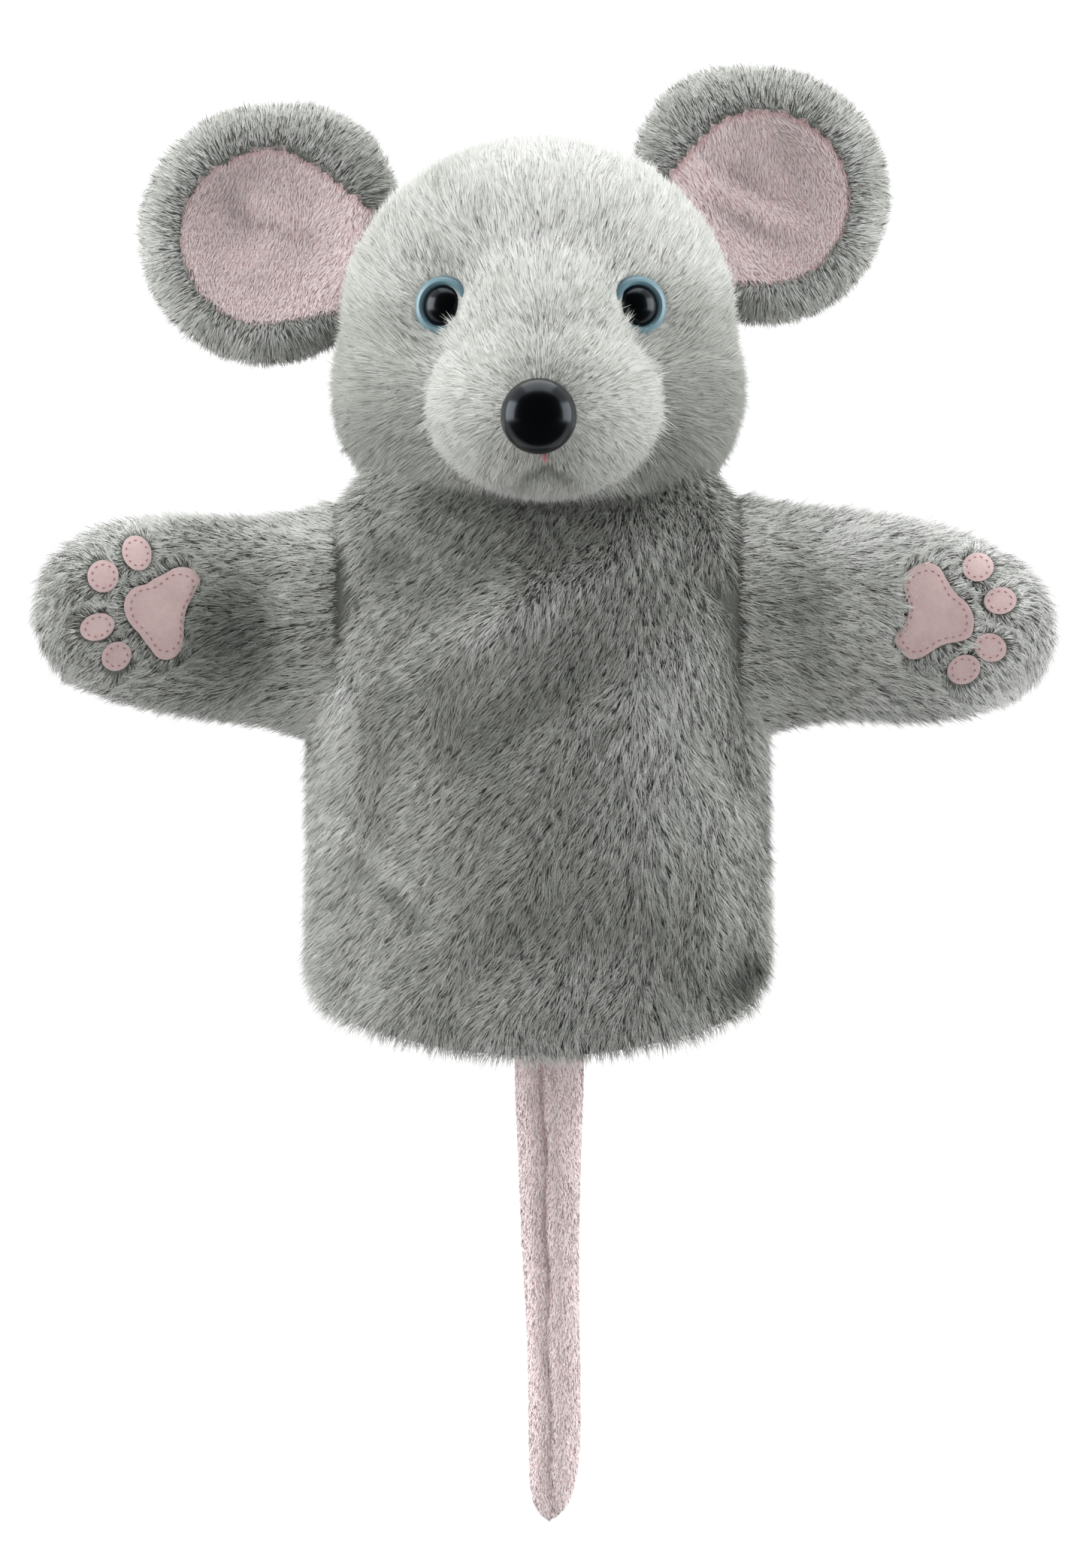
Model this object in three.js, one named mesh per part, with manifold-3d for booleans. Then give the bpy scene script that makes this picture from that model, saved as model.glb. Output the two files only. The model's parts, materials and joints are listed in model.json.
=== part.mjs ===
// A plush mouse glove puppet. A fur glove body with two mitten arms, a stuffed head with a fat muzzle, round
// cupped ears, plastic eyes and nose, felt paw pads and a hanging tail. Millimetres, +Z up. The face looks
// towards -Y and the puppet's own left arm points along +X. The origin is the middle of the hand opening,
// level with the lowest point of the hem.
import * as THREE from "three";
import { mergeVertices } from "three/addons/utils/BufferGeometryUtils.js";
import Module from "manifold-3d";

const wasm = await Module();
wasm.setup();

// ---- driving dimensions -------------------------------------------------------------------------

const GAP = 0.3; // left between pieces that touch
const FUR = 3; // wall of a fur panel: the knitted backing and its lying pile
const LINING = 0.8; // wall of the cotton lining
const FAR = 400; // longer than the puppet, for cutting blocks
const DEG = Math.PI / 180;

const torso = { halfWidth: 62.5, flatness: 0.48, shoulderZ: 120, topZ: 143, neckHalfWidth: 24, belowHem: 28 };
const hem = { cornerX: 52, cornerZ: 26, arcRadius: 150, facing: 15 };
const arm = { pivotX: 60, midZ: 118.5, half: 27.5, reach: 139, halfDepth: 15, puff: 9, rootX: 44, swing: 30 };
const elbow = { x: 80, y: -4, fold: 60 };
const neck = { pivotZ: 140, halfWidth: 25, flatness: 0.66, wall: 3, bottomZ: 134, topZ: 155 };
const head = { centre: [0, 5, 200], radii: [56.5, 50, 49.5], bottomZ: 160, neckHole: [27, 19] };
const muzzle = { centre: [1.5, -37, 171.5], radii: [31, 36, 24], wall: 2.5, backY: -24 };
const bridge = { centre: [0.5, -26, 187], radii: [15, 23, 17] };
const fingerPocket = { radius: 12, y: 4, topZ: 214 };
const ear = { radius: 34.5, cup: 8, halfRim: 3.2, liningRadius: 27.5, liningWall: 1.6, headClearance: 4.6 };
const ears = { right: { x: -73, y: 12, z: 222.5 }, left: { x: 60.5, y: 12, z: 233 } };
const eye = { x: 24.4, z: 198.4, turn: 21, radius: 7.5, pupil: 5.3, shank: 2.6, washer: 7 };
const nose = { x: 0, z: 166.6, seatY: -70.6, radius: 9.5, dome: 7.4, shank: 3, shankEnd: 14 };
const noseWasher = { radius: 7.5, depth: 7.6 };
const mouth = { x: 1.8, z: 153.6, length: 3.8, radius: 0.6, lean: 53, proud: 1.4 };
const padWall = 1.6;
const tail = { x: 3, y: 24, topHalf: 9, tipHalf: 6, flatness: 0.55, hingeZ: -6, jointZ: -52, tipZ: -127 };
const tailTab = { halfWidth: 6, wall: 1.2, bottomZ: -0.5, topZ: 12 };

// ---- colours ------------------------------------------------------------------------------------

const paint = (color, roughness) => new THREE.MeshStandardMaterial({ color, roughness, metalness: 0 });
const bodyFur = paint(0x8e918b, 0.95);
const headFur = paint(0xd0d2cc, 0.95);
const earFur = paint(0xa5a8a2, 0.95);
const pinkVelour = paint(0xe3c9cb, 0.9);
const pinkFelt = paint(0xd8b4b8, 0.95);
const cotton = paint(0xb9bab6, 0.9);
const stuffing = paint(0xf2f0ea, 1);
const tealPlastic = paint(0x6f97a6, 0.25);
const blackPlastic = paint(0x14161a, 0.12);
const clearNylon = paint(0xd9d9d4, 0.5);
const stitchThread = paint(0xc98f92, 0.8);

// ---- solids -------------------------------------------------------------------------------------

function signedVolume(positions, corners) {
  const [a, b, c] = [new THREE.Vector3(), new THREE.Vector3(), new THREE.Vector3()];
  let volume = 0;
  for (let i = 0; i < corners.length; i += 3) {
    a.fromArray(positions, corners[i] * 3);
    b.fromArray(positions, corners[i + 1] * 3);
    c.fromArray(positions, corners[i + 2] * 3);
    volume += a.dot(b.cross(c)) / 6;
  }
  return volume;
}

// A closed geometry as a manifold solid. The points on a lathe's axis merge, which leaves empty triangles
// there, and a lathe whose outline runs downwards is inside out: both are put right here.
function solid(geometry) {
  geometry.deleteAttribute("normal");
  geometry.deleteAttribute("uv");
  const merged = mergeVertices(geometry);
  const positions = Float32Array.from(merged.attributes.position.array);
  let corners = [];
  for (let i = 0; i < merged.index.count; i += 3) {
    const [a, b, c] = merged.index.array.slice(i, i + 3);
    if (a !== b && b !== c && c !== a) corners.push(a, b, c);
  }
  if (signedVolume(positions, corners) < 0) corners = corners.reverse();
  const mesh = new wasm.Mesh({ numProp: 3, vertProperties: positions, triVerts: Uint32Array.from(corners) });
  return new wasm.Manifold(mesh);
}

function meshOf(name, body, material) {
  const made = body.getMesh();
  const geometry = new THREE.BufferGeometry();
  geometry.setAttribute("position", new THREE.BufferAttribute(made.vertProperties, 3));
  geometry.setIndex(new THREE.BufferAttribute(made.triVerts, 1));
  const mesh = new THREE.Mesh(geometry, material);
  mesh.name = name;
  return mesh;
}

const cutAway = (body, ...cutters) => cutters.reduce((left, cutter) => left.subtract(cutter), body);

function block([x0, y0, z0], [x1, y1, z1]) {
  const box = new THREE.BoxGeometry(x1 - x0, y1 - y0, z1 - z0);
  return solid(box.translate((x0 + x1) / 2, (y0 + y1) / 2, (z0 + z1) / 2));
}

const above = (z) => block([-FAR, -FAR, z], [FAR, FAR, FAR]);
const below = (z) => block([-FAR, -FAR, -FAR], [FAR, FAR, z]);

function ellipsoid([x, y, z], radii, inset = 0, around = 22, up = 12) {
  const ball = new THREE.SphereGeometry(1, around, up).rotateX(Math.PI / 2);
  return solid(ball.scale(radii[0] - inset, radii[1] - inset, radii[2] - inset).translate(x, y, z));
}

// An upright turned form: the outline gives radius and height.
function turnedUpright(outline, around, flatness = 1) {
  const form = new THREE.LatheGeometry(outline, around).rotateX(Math.PI / 2);
  return form.scale(1, flatness, 1);
}

// An outline drawn as seen from the front, made a slab from y = back forwards by its depth.
function slab(outline, back, depth, curveSegments = 8) {
  const plate = new THREE.ExtrudeGeometry(outline, { depth, bevelEnabled: false, curveSegments });
  return solid(plate.rotateX(Math.PI / 2).translate(0, back, 0));
}

// ---- glove body ---------------------------------------------------------------------------------

function torsoForm(inset) {
  const half = torso.halfWidth - inset;
  const topZ = torso.topZ - inset;
  const outline = new THREE.Path();
  outline.moveTo(0, -torso.belowHem);
  outline.lineTo(half, -torso.belowHem);
  outline.lineTo(half, torso.shoulderZ);
  outline.quadraticCurveTo(half, topZ, torso.neckHalfWidth, topZ);
  outline.lineTo(0, topZ);
  const flatness = (torso.halfWidth * torso.flatness - inset) / half;
  return solid(turnedUpright(outline.getPoints(4), 24, flatness));
}

// The bib that the front and the back are cut to: straight sides, rounded corners and a hem that dips in the
// middle. lift raises the whole hem line.
function bib(lift) {
  const side = torso.halfWidth + 1;
  const sag = hem.arcRadius - Math.sqrt(hem.arcRadius ** 2 - hem.cornerX ** 2);
  const half = Math.asin(hem.cornerX / hem.arcRadius);
  const outline = new THREE.Shape();
  outline.moveTo(side, FAR);
  outline.lineTo(-side, FAR);
  outline.lineTo(-side, hem.cornerZ + lift);
  outline.quadraticCurveTo(-side, sag + lift + 2, -hem.cornerX, sag + lift);
  outline.absarc(0, hem.arcRadius + lift, hem.arcRadius, -Math.PI / 2 - half, -Math.PI / 2 + half, false);
  outline.quadraticCurveTo(side, sag + lift + 2, side, hem.cornerZ + lift);
  return slab(outline, FAR / 2, FAR, 4);
}

// The room that an arm sweeps through as it swings up and down: a disc about its hinge and a wedge outwards.
function armRoom(side) {
  const radius = arm.half + 2 * GAP;
  const outline = new THREE.Shape();
  const [across, rise] = [Math.cos(arm.swing * DEG), Math.sin(arm.swing * DEG)];
  const up = new THREE.Vector2(across, rise).multiplyScalar(FAR / 2);
  const start = new THREE.Vector2(-rise, across).multiplyScalar(radius);
  outline.moveTo(start.x, start.y);
  outline.absarc(0, 0, radius, Math.PI / 2 + arm.swing * DEG, (3 * Math.PI) / 2 - arm.swing * DEG, false);
  outline.lineTo(start.x + up.x, -start.y - up.y);
  outline.lineTo(start.x + up.x, start.y + up.y);
  const wedge = new THREE.ExtrudeGeometry(outline, { depth: FAR, bevelEnabled: false, curveSegments: 8 });
  wedge.rotateX(Math.PI / 2).translate(arm.pivotX, FAR / 2, arm.midZ);
  if (side < 0) wedge.rotateZ(Math.PI);
  return solid(wedge);
}

// The neck is a ball section about its hinge, so it turns in the glove's collar without leaving it.
function neckForm(inset) {
  const radii = [neck.halfWidth - inset, neck.halfWidth * neck.flatness - inset, neck.halfWidth - inset];
  return ellipsoid([0, 0, neck.pivotZ], radii, 0, 16, 10);
}

const armRooms = [armRoom(-1), armRoom(1)];
const collarHole = neckForm(-2 * GAP);
const frontHalf = block([-FAR, -FAR, -FAR], [FAR, -GAP / 2, FAR]);
const backHalf = block([-FAR, GAP / 2, -FAR], [FAR, FAR, FAR]);

function torsoLayer(inset, wall) {
  const layer = torsoForm(inset).subtract(torsoForm(inset + wall));
  return cutAway(layer, ...armRooms, collarHole).intersect(above(-torso.belowHem / 2));
}

function gloveBody() {
  const fur = torsoLayer(0, FUR).intersect(bib(0));
  const cloth = torsoLayer(FUR + GAP, LINING);
  const facingTop = bib(hem.facing);
  const facing = cloth.intersect(bib(0)).subtract(facingTop).intersect(below(arm.midZ - arm.half));
  const { halfWidth, wall, bottomZ, topZ } = tailTab;
  const tabY = tail.y - 0.7;
  const tab = block([tail.x - halfWidth, tabY - wall, bottomZ], [tail.x + halfWidth, tabY, topZ]);
  return [
    meshOf("front_panel", fur.intersect(frontHalf), bodyFur),
    meshOf("back_panel", fur.intersect(backHalf), bodyFur),
    meshOf("hand_lining", cloth.intersect(bib(hem.facing + GAP)), cotton),
    meshOf("hem_facing", facing, bodyFur),
    meshOf("tail_tab", tab, pinkVelour),
  ];
}

function neckBand() {
  const band = neckForm(0).subtract(neckForm(neck.wall));
  return meshOf("neck_band", band.intersect(above(neck.bottomZ)).intersect(below(neck.topZ)), bodyFur);
}

// ---- arms ---------------------------------------------------------------------------------------

// A mitten seen from the front, with a round root about its hinge, puffed like a flat pillow.
function armForm(inset) {
  const half = arm.half - inset;
  const reach = arm.reach - inset;
  const outline = new THREE.Shape();
  outline.moveTo(arm.pivotX, arm.midZ - half);
  outline.lineTo(102, arm.midZ - half);
  outline.bezierCurveTo(reach - 12, arm.midZ - half, reach, arm.midZ - 14, reach, arm.midZ);
  outline.bezierCurveTo(reach, arm.midZ + 15, reach - 14, arm.midZ + half, 98, arm.midZ + half);
  outline.lineTo(arm.pivotX, arm.midZ + half);
  outline.absarc(arm.pivotX, arm.midZ, half, Math.PI / 2, (3 * Math.PI) / 2, false);
  const puff = arm.puff - inset;
  const depth = 2 * (arm.halfDepth - arm.puff);
  const bevel = { bevelThickness: puff, bevelSize: puff, bevelOffset: -puff, bevelSegments: 2 };
  const pillow = new THREE.ExtrudeGeometry(outline, { depth, curveSegments: 5, ...bevel });
  return pillow.rotateX(Math.PI / 2).translate(0, depth / 2, 0);
}

// The half plane on one side of the elbow, with the fold's room taken off its front, as an upright block.
function elbowSide(outwards) {
  const sign = outwards ? 1 : -1;
  const meet = elbow.x + (sign * GAP) / 2;
  const far = outwards ? FAR : arm.rootX;
  const front = 40;
  const opened = meet + sign * front * Math.tan((elbow.fold / 2) * DEG);
  const outline = new THREE.Shape();
  outline.moveTo(far, front);
  outline.lineTo(meet, front);
  outline.lineTo(meet, elbow.y);
  outline.lineTo(opened, elbow.y - front);
  outline.lineTo(far, elbow.y - front);
  return new THREE.ExtrudeGeometry(outline, { depth: FAR, bevelEnabled: false });
}

function sided(geometry, side) {
  if (side > 0) return solid(geometry);
  return solid(geometry.scale(-1, 1, 1));
}

function armLayer(side, outwards, inset, wall) {
  const layer = sided(armForm(inset), side).subtract(sided(armForm(inset + wall), side));
  return layer.intersect(sided(elbowSide(outwards), side));
}

// A pad is felt cut to overlapping rounds. Each round is [out from the middle of the paw, height, radius].
function feltPad(side, rounds) {
  const back = -arm.halfDepth - GAP;
  const discs = rounds.map(([x, z, radius, stretch = 1]) => {
    const disc = new THREE.CylinderGeometry(radius, radius, padWall, 10).scale(1, 1, stretch);
    return solid(disc.translate(side * x, back - padWall / 2, z));
  });
  return discs.reduce((all, disc) => all.add(disc));
}

const palmRounds = [
  [97.5, 119.8, 7.4],
  [92.6, 127.4, 4.6],
  [96, 112.4, 4.7],
  [103.2, 121.6, 5.4],
];
const toeRounds = [
  [104.6, 134, 4, 1.1],
  [113.4, 127.6, 4.3, 1],
  [114.4, 114.6, 4.3, 1],
  [108.4, 105.6, 4, 1.15],
];

function mitten(side, own) {
  const pads = toeRounds.map((round, i) =>
    meshOf(`${own}_toe_pad_${i + 1}`, feltPad(side, [round]), pinkFelt),
  );
  return [
    meshOf(`${own}_arm_cover`, armLayer(side, false, 0, FUR), bodyFur),
    meshOf(`${own}_arm_lining`, armLayer(side, false, FUR + GAP, LINING), cotton),
    meshOf(`${own}_paw_cover`, armLayer(side, true, 0, FUR), bodyFur),
    meshOf(`${own}_paw_lining`, armLayer(side, true, FUR + GAP, LINING), cotton),
    meshOf(`${own}_palm_pad`, feltPad(side, palmRounds), pinkFelt),
    ...pads,
  ];
}

// ---- head ---------------------------------------------------------------------------------------

const headForm = (inset) => ellipsoid(head.centre, head.radii, inset);

function turned(outline, around) {
  return new THREE.LatheGeometry(outline, around);
}

// A round fitting that stands on the skin and goes through it: made along Y, with the outside towards -Y.
function shankedDisc(radius, skinY, frontY, shank, shankY) {
  const outline = new THREE.Path();
  outline.moveTo(0, shankY);
  outline.lineTo(shank, shankY);
  outline.lineTo(shank, skinY);
  outline.lineTo(radius, skinY);
  outline.lineTo(radius, frontY + 0.6);
  outline.lineTo(radius - 0.6, frontY);
  outline.lineTo(0, frontY);
  return turned(outline.getPoints(), 14);
}

function washerRing(inner, outer, y0, y1) {
  const outline = new THREE.Path();
  outline.moveTo(inner, y0);
  outline.lineTo(outer, y0);
  outline.lineTo(outer, y1);
  outline.lineTo(inner, y1);
  outline.lineTo(inner, y0);
  return turned(outline.getPoints(), 14);
}

function dome(radius, baseY, height) {
  const outline = new THREE.Path();
  outline.moveTo(0, baseY);
  outline.lineTo(radius, baseY);
  outline.bezierCurveTo(radius, baseY - 0.6 * height, 0.55 * radius, baseY - height, 0, baseY - height);
  return turned(outline.getPoints(4), 14);
}

function bore(radius, y0, y1) {
  return new THREE.CylinderGeometry(radius, radius, y1 - y0, 14).translate(0, (y0 + y1) / 2, 0);
}

// The point on the head's skin in front of (x, z).
function faceY(x, z) {
  const across = ((x - head.centre[0]) / head.radii[0]) ** 2;
  const up = ((z - head.centre[2]) / head.radii[2]) ** 2;
  return head.centre[1] - head.radii[1] * Math.sqrt(1 - across - up);
}

function atEye(side, geometry) {
  const x = side * eye.x;
  return solid(geometry.rotateZ(side * eye.turn * DEG).translate(x, faceY(x, eye.z), eye.z));
}

const EYE_SKIN = -0.9; // the ring's back, clear of the curve of the face
const EYE_FRONT = -3;
const WASHER_IN = 5.6; // behind the fur panel
const WASHER_WALL = 1.4;
const SHANK_END = 11;

const eyeShankHole = (side) => atEye(side, bore(eye.shank + GAP, -2, SHANK_END + 1));
const eyeWasherRoom = (side) => atEye(side, bore(eye.washer + 2 * GAP, 0, WASHER_IN + WASHER_WALL + GAP));

function eyePieces(side, own) {
  const ring = shankedDisc(eye.radius, EYE_SKIN, EYE_FRONT, eye.shank, SHANK_END);
  const washer = washerRing(eye.shank + GAP, eye.washer, WASHER_IN, WASHER_IN + WASHER_WALL);
  return [
    meshOf(`${own}_eye_ring`, atEye(side, ring), tealPlastic),
    meshOf(`${own}_eye_pupil`, atEye(side, dome(eye.pupil, EYE_FRONT - GAP, 3.4)), blackPlastic),
    meshOf(`${own}_eye_washer`, atEye(side, washer), clearNylon),
  ];
}

const atNose = (geometry) => solid(geometry.translate(nose.x, 0, nose.z));

function muzzleForm(inset) {
  const ball = ellipsoid(muzzle.centre, muzzle.radii, inset, 18, 10);
  const saddle = ellipsoid(bridge.centre, bridge.radii, inset, 12, 8);
  const front = block([-FAR, -FAR, -FAR], [FAR, muzzle.backY, FAR]);
  return ball.add(saddle).subtract(headForm(-GAP)).intersect(front);
}

// A short bar of thread that lies on the muzzle's skin below the nose.
function mouthStitch() {
  const stitch = new THREE.CylinderGeometry(mouth.radius, mouth.radius, mouth.length, 8);
  stitch.rotateX(Math.PI / 2 - mouth.lean * DEG);
  const lie = ((mouth.z - muzzle.centre[2]) / muzzle.radii[2]) ** 2;
  const lipY = muzzle.centre[1] - muzzle.radii[1] * Math.sqrt(1 - lie);
  return solid(stitch.translate(mouth.x, lipY - mouth.proud, mouth.z - mouth.proud));
}

function muzzlePieces() {
  const seat = atNose(bore(nose.radius + 2 * GAP, nose.seatY - 20, nose.seatY));
  const shankEnd = nose.seatY + nose.shankEnd;
  const shankHole = atNose(bore(nose.shank + GAP, nose.seatY - 1, shankEnd + 1));
  const washerY = nose.seatY + noseWasher.depth;
  const washerBack = washerY + WASHER_WALL;
  const washerRoom = atNose(bore(noseWasher.radius + 2 * GAP, washerY - GAP, washerBack + GAP));
  const core = muzzleForm(muzzle.wall + 2 * GAP);
  const shell = muzzleForm(0).subtract(muzzleForm(muzzle.wall));
  const skinY = nose.seatY - GAP;
  const flange = shankedDisc(nose.radius - 0.4, skinY, skinY - 1, nose.shank, shankEnd);
  const button = atNose(flange).add(atNose(dome(nose.radius, skinY - 0.9, nose.dome)));
  const washer = atNose(washerRing(nose.shank + GAP, noseWasher.radius, washerY, washerBack));
  return [
    meshOf("muzzle_panel", cutAway(shell, seat, shankHole, washerRoom), headFur),
    meshOf("muzzle_stuffing", cutAway(core, seat, shankHole, washerRoom), stuffing),
    meshOf("nose_button", button, blackPlastic),
    meshOf("nose_washer", washer, clearNylon),
    meshOf("mouth_stitch", mouthStitch(), stitchThread),
  ];
}

function pocketForm(inset) {
  const radius = fingerPocket.radius - inset;
  const top = fingerPocket.topZ - inset;
  const outline = new THREE.Path();
  outline.moveTo(0, head.bottomZ + 1);
  outline.lineTo(radius, head.bottomZ + 1);
  outline.lineTo(radius, top - radius);
  outline.absarc(0, top - radius, radius, 0, Math.PI / 2, false);
  return outline.getPoints(3);
}

function uprightPocket(inset, drop) {
  return solid(turnedUpright(pocketForm(inset), 14).translate(0, fingerPocket.y, drop));
}

function headPieces() {
  const [holeX, holeY] = head.neckHole;
  const tube = new THREE.CylinderGeometry(1, 1, 30, 18).rotateX(Math.PI / 2).scale(holeX, holeY, 1);
  const neckHole = solid(tube.translate(0, 0, head.bottomZ));
  const shankHoles = [eyeShankHole(-1), eyeShankHole(1)];
  const washerRooms = [eyeWasherRoom(-1), eyeWasherRoom(1)];
  const shell = headForm(0).subtract(headForm(FUR)).intersect(above(head.bottomZ));
  const fur = cutAway(shell, neckHole, ...shankHoles);
  const core = headForm(FUR + GAP).intersect(above(head.bottomZ + FUR));
  const pocketRoom = uprightPocket(-GAP, 0).add(uprightPocket(-GAP, -8));
  const pocket = cutAway(uprightPocket(0, 0), uprightPocket(LINING, 0), uprightPocket(LINING, -3));
  return [
    meshOf("face_panel", fur.intersect(frontHalf), headFur),
    meshOf("head_back_panel", fur.intersect(backHalf), headFur),
    meshOf("head_stuffing", cutAway(core, pocketRoom, neckHole, ...shankHoles, ...washerRooms), stuffing),
    meshOf("head_finger_pocket", pocket, cotton),
    ...muzzlePieces(),
  ];
}

// ---- ears ---------------------------------------------------------------------------------------

// A shallow cup about Y, hollow towards the face's side: backY and frontY are its middle, 0 its rim.
function cup(radius, backY, frontY, halfRim) {
  const outline = new THREE.Path();
  outline.moveTo(0, backY);
  outline.quadraticCurveTo(0.62 * radius, backY, radius - halfRim, halfRim);
  outline.quadraticCurveTo(radius, halfRim, radius, 0);
  outline.quadraticCurveTo(radius, -halfRim, radius - halfRim, -halfRim);
  outline.quadraticCurveTo(0.62 * radius, frontY, 0, frontY);
  return turned(outline.getPoints(3), 22);
}

// The pink lining lies in the cup: a disc bent to the cup's own curve.
function cupLining() {
  const { radius, cup: depth, halfRim, liningRadius, liningWall } = ear;
  const seat = depth - halfRim - GAP;
  const rise = halfRim + GAP + liningWall;
  const outline = new THREE.Path();
  outline.moveTo(0, seat);
  outline.quadraticCurveTo(0.5 * radius, seat - 0.6, liningRadius, -rise + liningWall);
  outline.lineTo(liningRadius - 0.6, -rise);
  outline.quadraticCurveTo(0.5 * radius, seat - liningWall - 1, 0, seat - liningWall);
  return turned(outline.getPoints(3), 22);
}

function earPieces(own) {
  const { x, y, z } = ears[own];
  const room = headForm(-ear.headClearance);
  const shell = cup(ear.radius, ear.cup + ear.halfRim, ear.cup - ear.halfRim, ear.halfRim);
  const back = solid(shell.translate(x, y, z));
  const lining = solid(cupLining().translate(x, y, z));
  return [
    meshOf(`${own}_ear_back`, back.subtract(room), earFur),
    meshOf(`${own}_ear_lining`, lining.subtract(room), pinkVelour),
  ];
}

// ---- tail ---------------------------------------------------------------------------------------

function tailForm() {
  const drop = tail.hingeZ - tail.tipZ;
  const round = tail.topHalf * tail.flatness;
  const outline = new THREE.Path();
  outline.moveTo(0, tail.hingeZ + round);
  outline.quadraticCurveTo(tail.topHalf, tail.hingeZ + round, tail.topHalf, tail.hingeZ);
  outline.lineTo(tail.tipHalf + 1.4, tail.hingeZ - 0.55 * drop);
  outline.lineTo(tail.tipHalf, tail.tipZ + 10);
  outline.quadraticCurveTo(tail.tipHalf, tail.tipZ, 0, tail.tipZ);
  return solid(turnedUpright(outline.getPoints(3), 14, tail.flatness).translate(tail.x, tail.y, 0));
}

function tailPieces() {
  const form = tailForm();
  const swayRoom = tail.tipHalf * 0.7;
  const upper = form.intersect(above(tail.jointZ + swayRoom));
  const lower = form.intersect(below(tail.jointZ - swayRoom));
  return [meshOf("tail_upper", upper, pinkVelour), meshOf("tail_lower", lower, pinkVelour)];
}

// ---- the puppet ---------------------------------------------------------------------------------

const puppet = new THREE.Group();
puppet.name = "mouse_glove_puppet";
puppet.add(
  ...gloveBody(),
  neckBand(),
  ...mitten(-1, "right"),
  ...mitten(1, "left"),
  ...headPieces(),
  ...eyePieces(-1, "right"),
  ...eyePieces(1, "left"),
  ...earPieces("right"),
  ...earPieces("left"),
  ...tailPieces(),
);

export default puppet;
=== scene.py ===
# %% [markdown]
# # A plush mouse glove puppet
# The puppet is a fur glove with two mitten arms, a stuffed head, round ears, a felt paw print on each
# hand and a pink tail. The CAD frame gives every place and every joint. This script dresses it: a cloth
# skin for each part, a pile of separate strands on each skin, then the felt, the plastic and the thread.

# %% Load the frame
import json
import math

import bpy
import numpy as np
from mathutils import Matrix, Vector

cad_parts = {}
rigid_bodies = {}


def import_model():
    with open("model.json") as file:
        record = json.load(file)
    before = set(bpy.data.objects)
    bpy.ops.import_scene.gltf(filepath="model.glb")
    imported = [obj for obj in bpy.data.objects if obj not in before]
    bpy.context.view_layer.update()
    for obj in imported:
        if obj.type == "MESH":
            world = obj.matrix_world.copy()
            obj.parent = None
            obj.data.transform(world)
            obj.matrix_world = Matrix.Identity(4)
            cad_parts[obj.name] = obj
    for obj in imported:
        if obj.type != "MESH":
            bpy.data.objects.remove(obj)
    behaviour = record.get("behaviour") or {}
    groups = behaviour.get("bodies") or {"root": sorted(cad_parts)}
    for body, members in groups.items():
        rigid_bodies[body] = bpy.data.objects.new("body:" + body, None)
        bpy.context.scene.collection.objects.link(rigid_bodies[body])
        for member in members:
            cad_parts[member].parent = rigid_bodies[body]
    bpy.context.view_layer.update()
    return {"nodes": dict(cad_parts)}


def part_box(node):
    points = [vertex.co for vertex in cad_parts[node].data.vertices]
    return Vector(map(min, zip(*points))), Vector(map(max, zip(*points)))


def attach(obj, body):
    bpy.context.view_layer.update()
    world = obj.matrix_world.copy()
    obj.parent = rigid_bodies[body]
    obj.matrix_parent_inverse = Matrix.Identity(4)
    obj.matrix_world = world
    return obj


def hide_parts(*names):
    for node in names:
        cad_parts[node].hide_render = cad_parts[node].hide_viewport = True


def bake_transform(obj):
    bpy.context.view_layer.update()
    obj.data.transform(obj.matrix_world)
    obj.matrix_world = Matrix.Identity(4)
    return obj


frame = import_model()

# %% [markdown]
# ## Camera
# A long lens far away keeps a toy's proportions flat and honest. It stands level, straight in front, and
# the frame is upright, so the 36 mm side of the sensor is the picture's height.

# %% Camera
camera_data = bpy.data.cameras.new("product_camera")
camera_data.lens = 100
camera_data.sensor_width = 36
camera_data.clip_end = 20
camera = bpy.data.objects.new("product_camera", camera_data)
camera.location = (0.0013, -1.16, 0.0748)
camera.rotation_euler = (math.pi / 2, 0, 0)
bpy.context.scene.collection.objects.link(camera)
bpy.context.scene.camera = camera
print("camera at", [round(v, 3) for v in camera.location])

# %% [markdown]
# ## Helpers
# Operators act on whatever is selected, so each piece starts from an empty selection. Lengths are written
# in millimetres, as a maker would, and turned to metres in one place.


# %% Selecting and shaping
def clear_selection():
    """Goes back to object mode with nothing selected."""
    if bpy.context.object and bpy.context.object.mode != "OBJECT":
        bpy.ops.object.mode_set(mode="OBJECT")
    bpy.ops.object.select_all(action="DESELECT")


def choose(*objects):
    """Selects these objects and nothing else. The first is the active one."""
    clear_selection()
    for o in objects:
        o.select_set(True)
    bpy.context.view_layer.objects.active = objects[0]


def name_it(name):
    """Names the object that was just added, and its mesh."""
    made = bpy.context.object
    made.name = name
    made.data.name = name
    return made


def open_all(o):
    """Opens a piece in edit mode with all of it selected."""
    choose(o)
    bpy.ops.object.mode_set(mode="EDIT")
    bpy.ops.mesh.select_all(action="SELECT")


def finish_with(o, kind, **settings):
    """Adds a modifier with its settings and applies it."""
    choose(o)
    modifier = o.modifiers.new(kind.lower(), kind)
    for key, value in settings.items():
        setattr(modifier, key, value)
    bpy.ops.object.modifier_apply(modifier=modifier.name)


def points_of(o):
    """The vertices of a mesh as an array, in mm."""
    flat = np.empty(len(o.data.vertices) * 3)
    o.data.vertices.foreach_get("co", flat)
    return flat.reshape(-1, 3) * 1000


def reshape(o, rule):
    """Moves every vertex where the rule says: it gets and gives an array in mm."""
    moved = rule(points_of(o).copy()) / 1000
    o.data.vertices.foreach_set("co", moved.ravel())
    o.data.update()


def smooth_step(low, high, value):
    """0 below low, 1 above high, and a soft ramp between them."""
    t = np.clip((value - low) / (high - low), 0, 1)
    return t * t * (3 - 2 * t)


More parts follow.
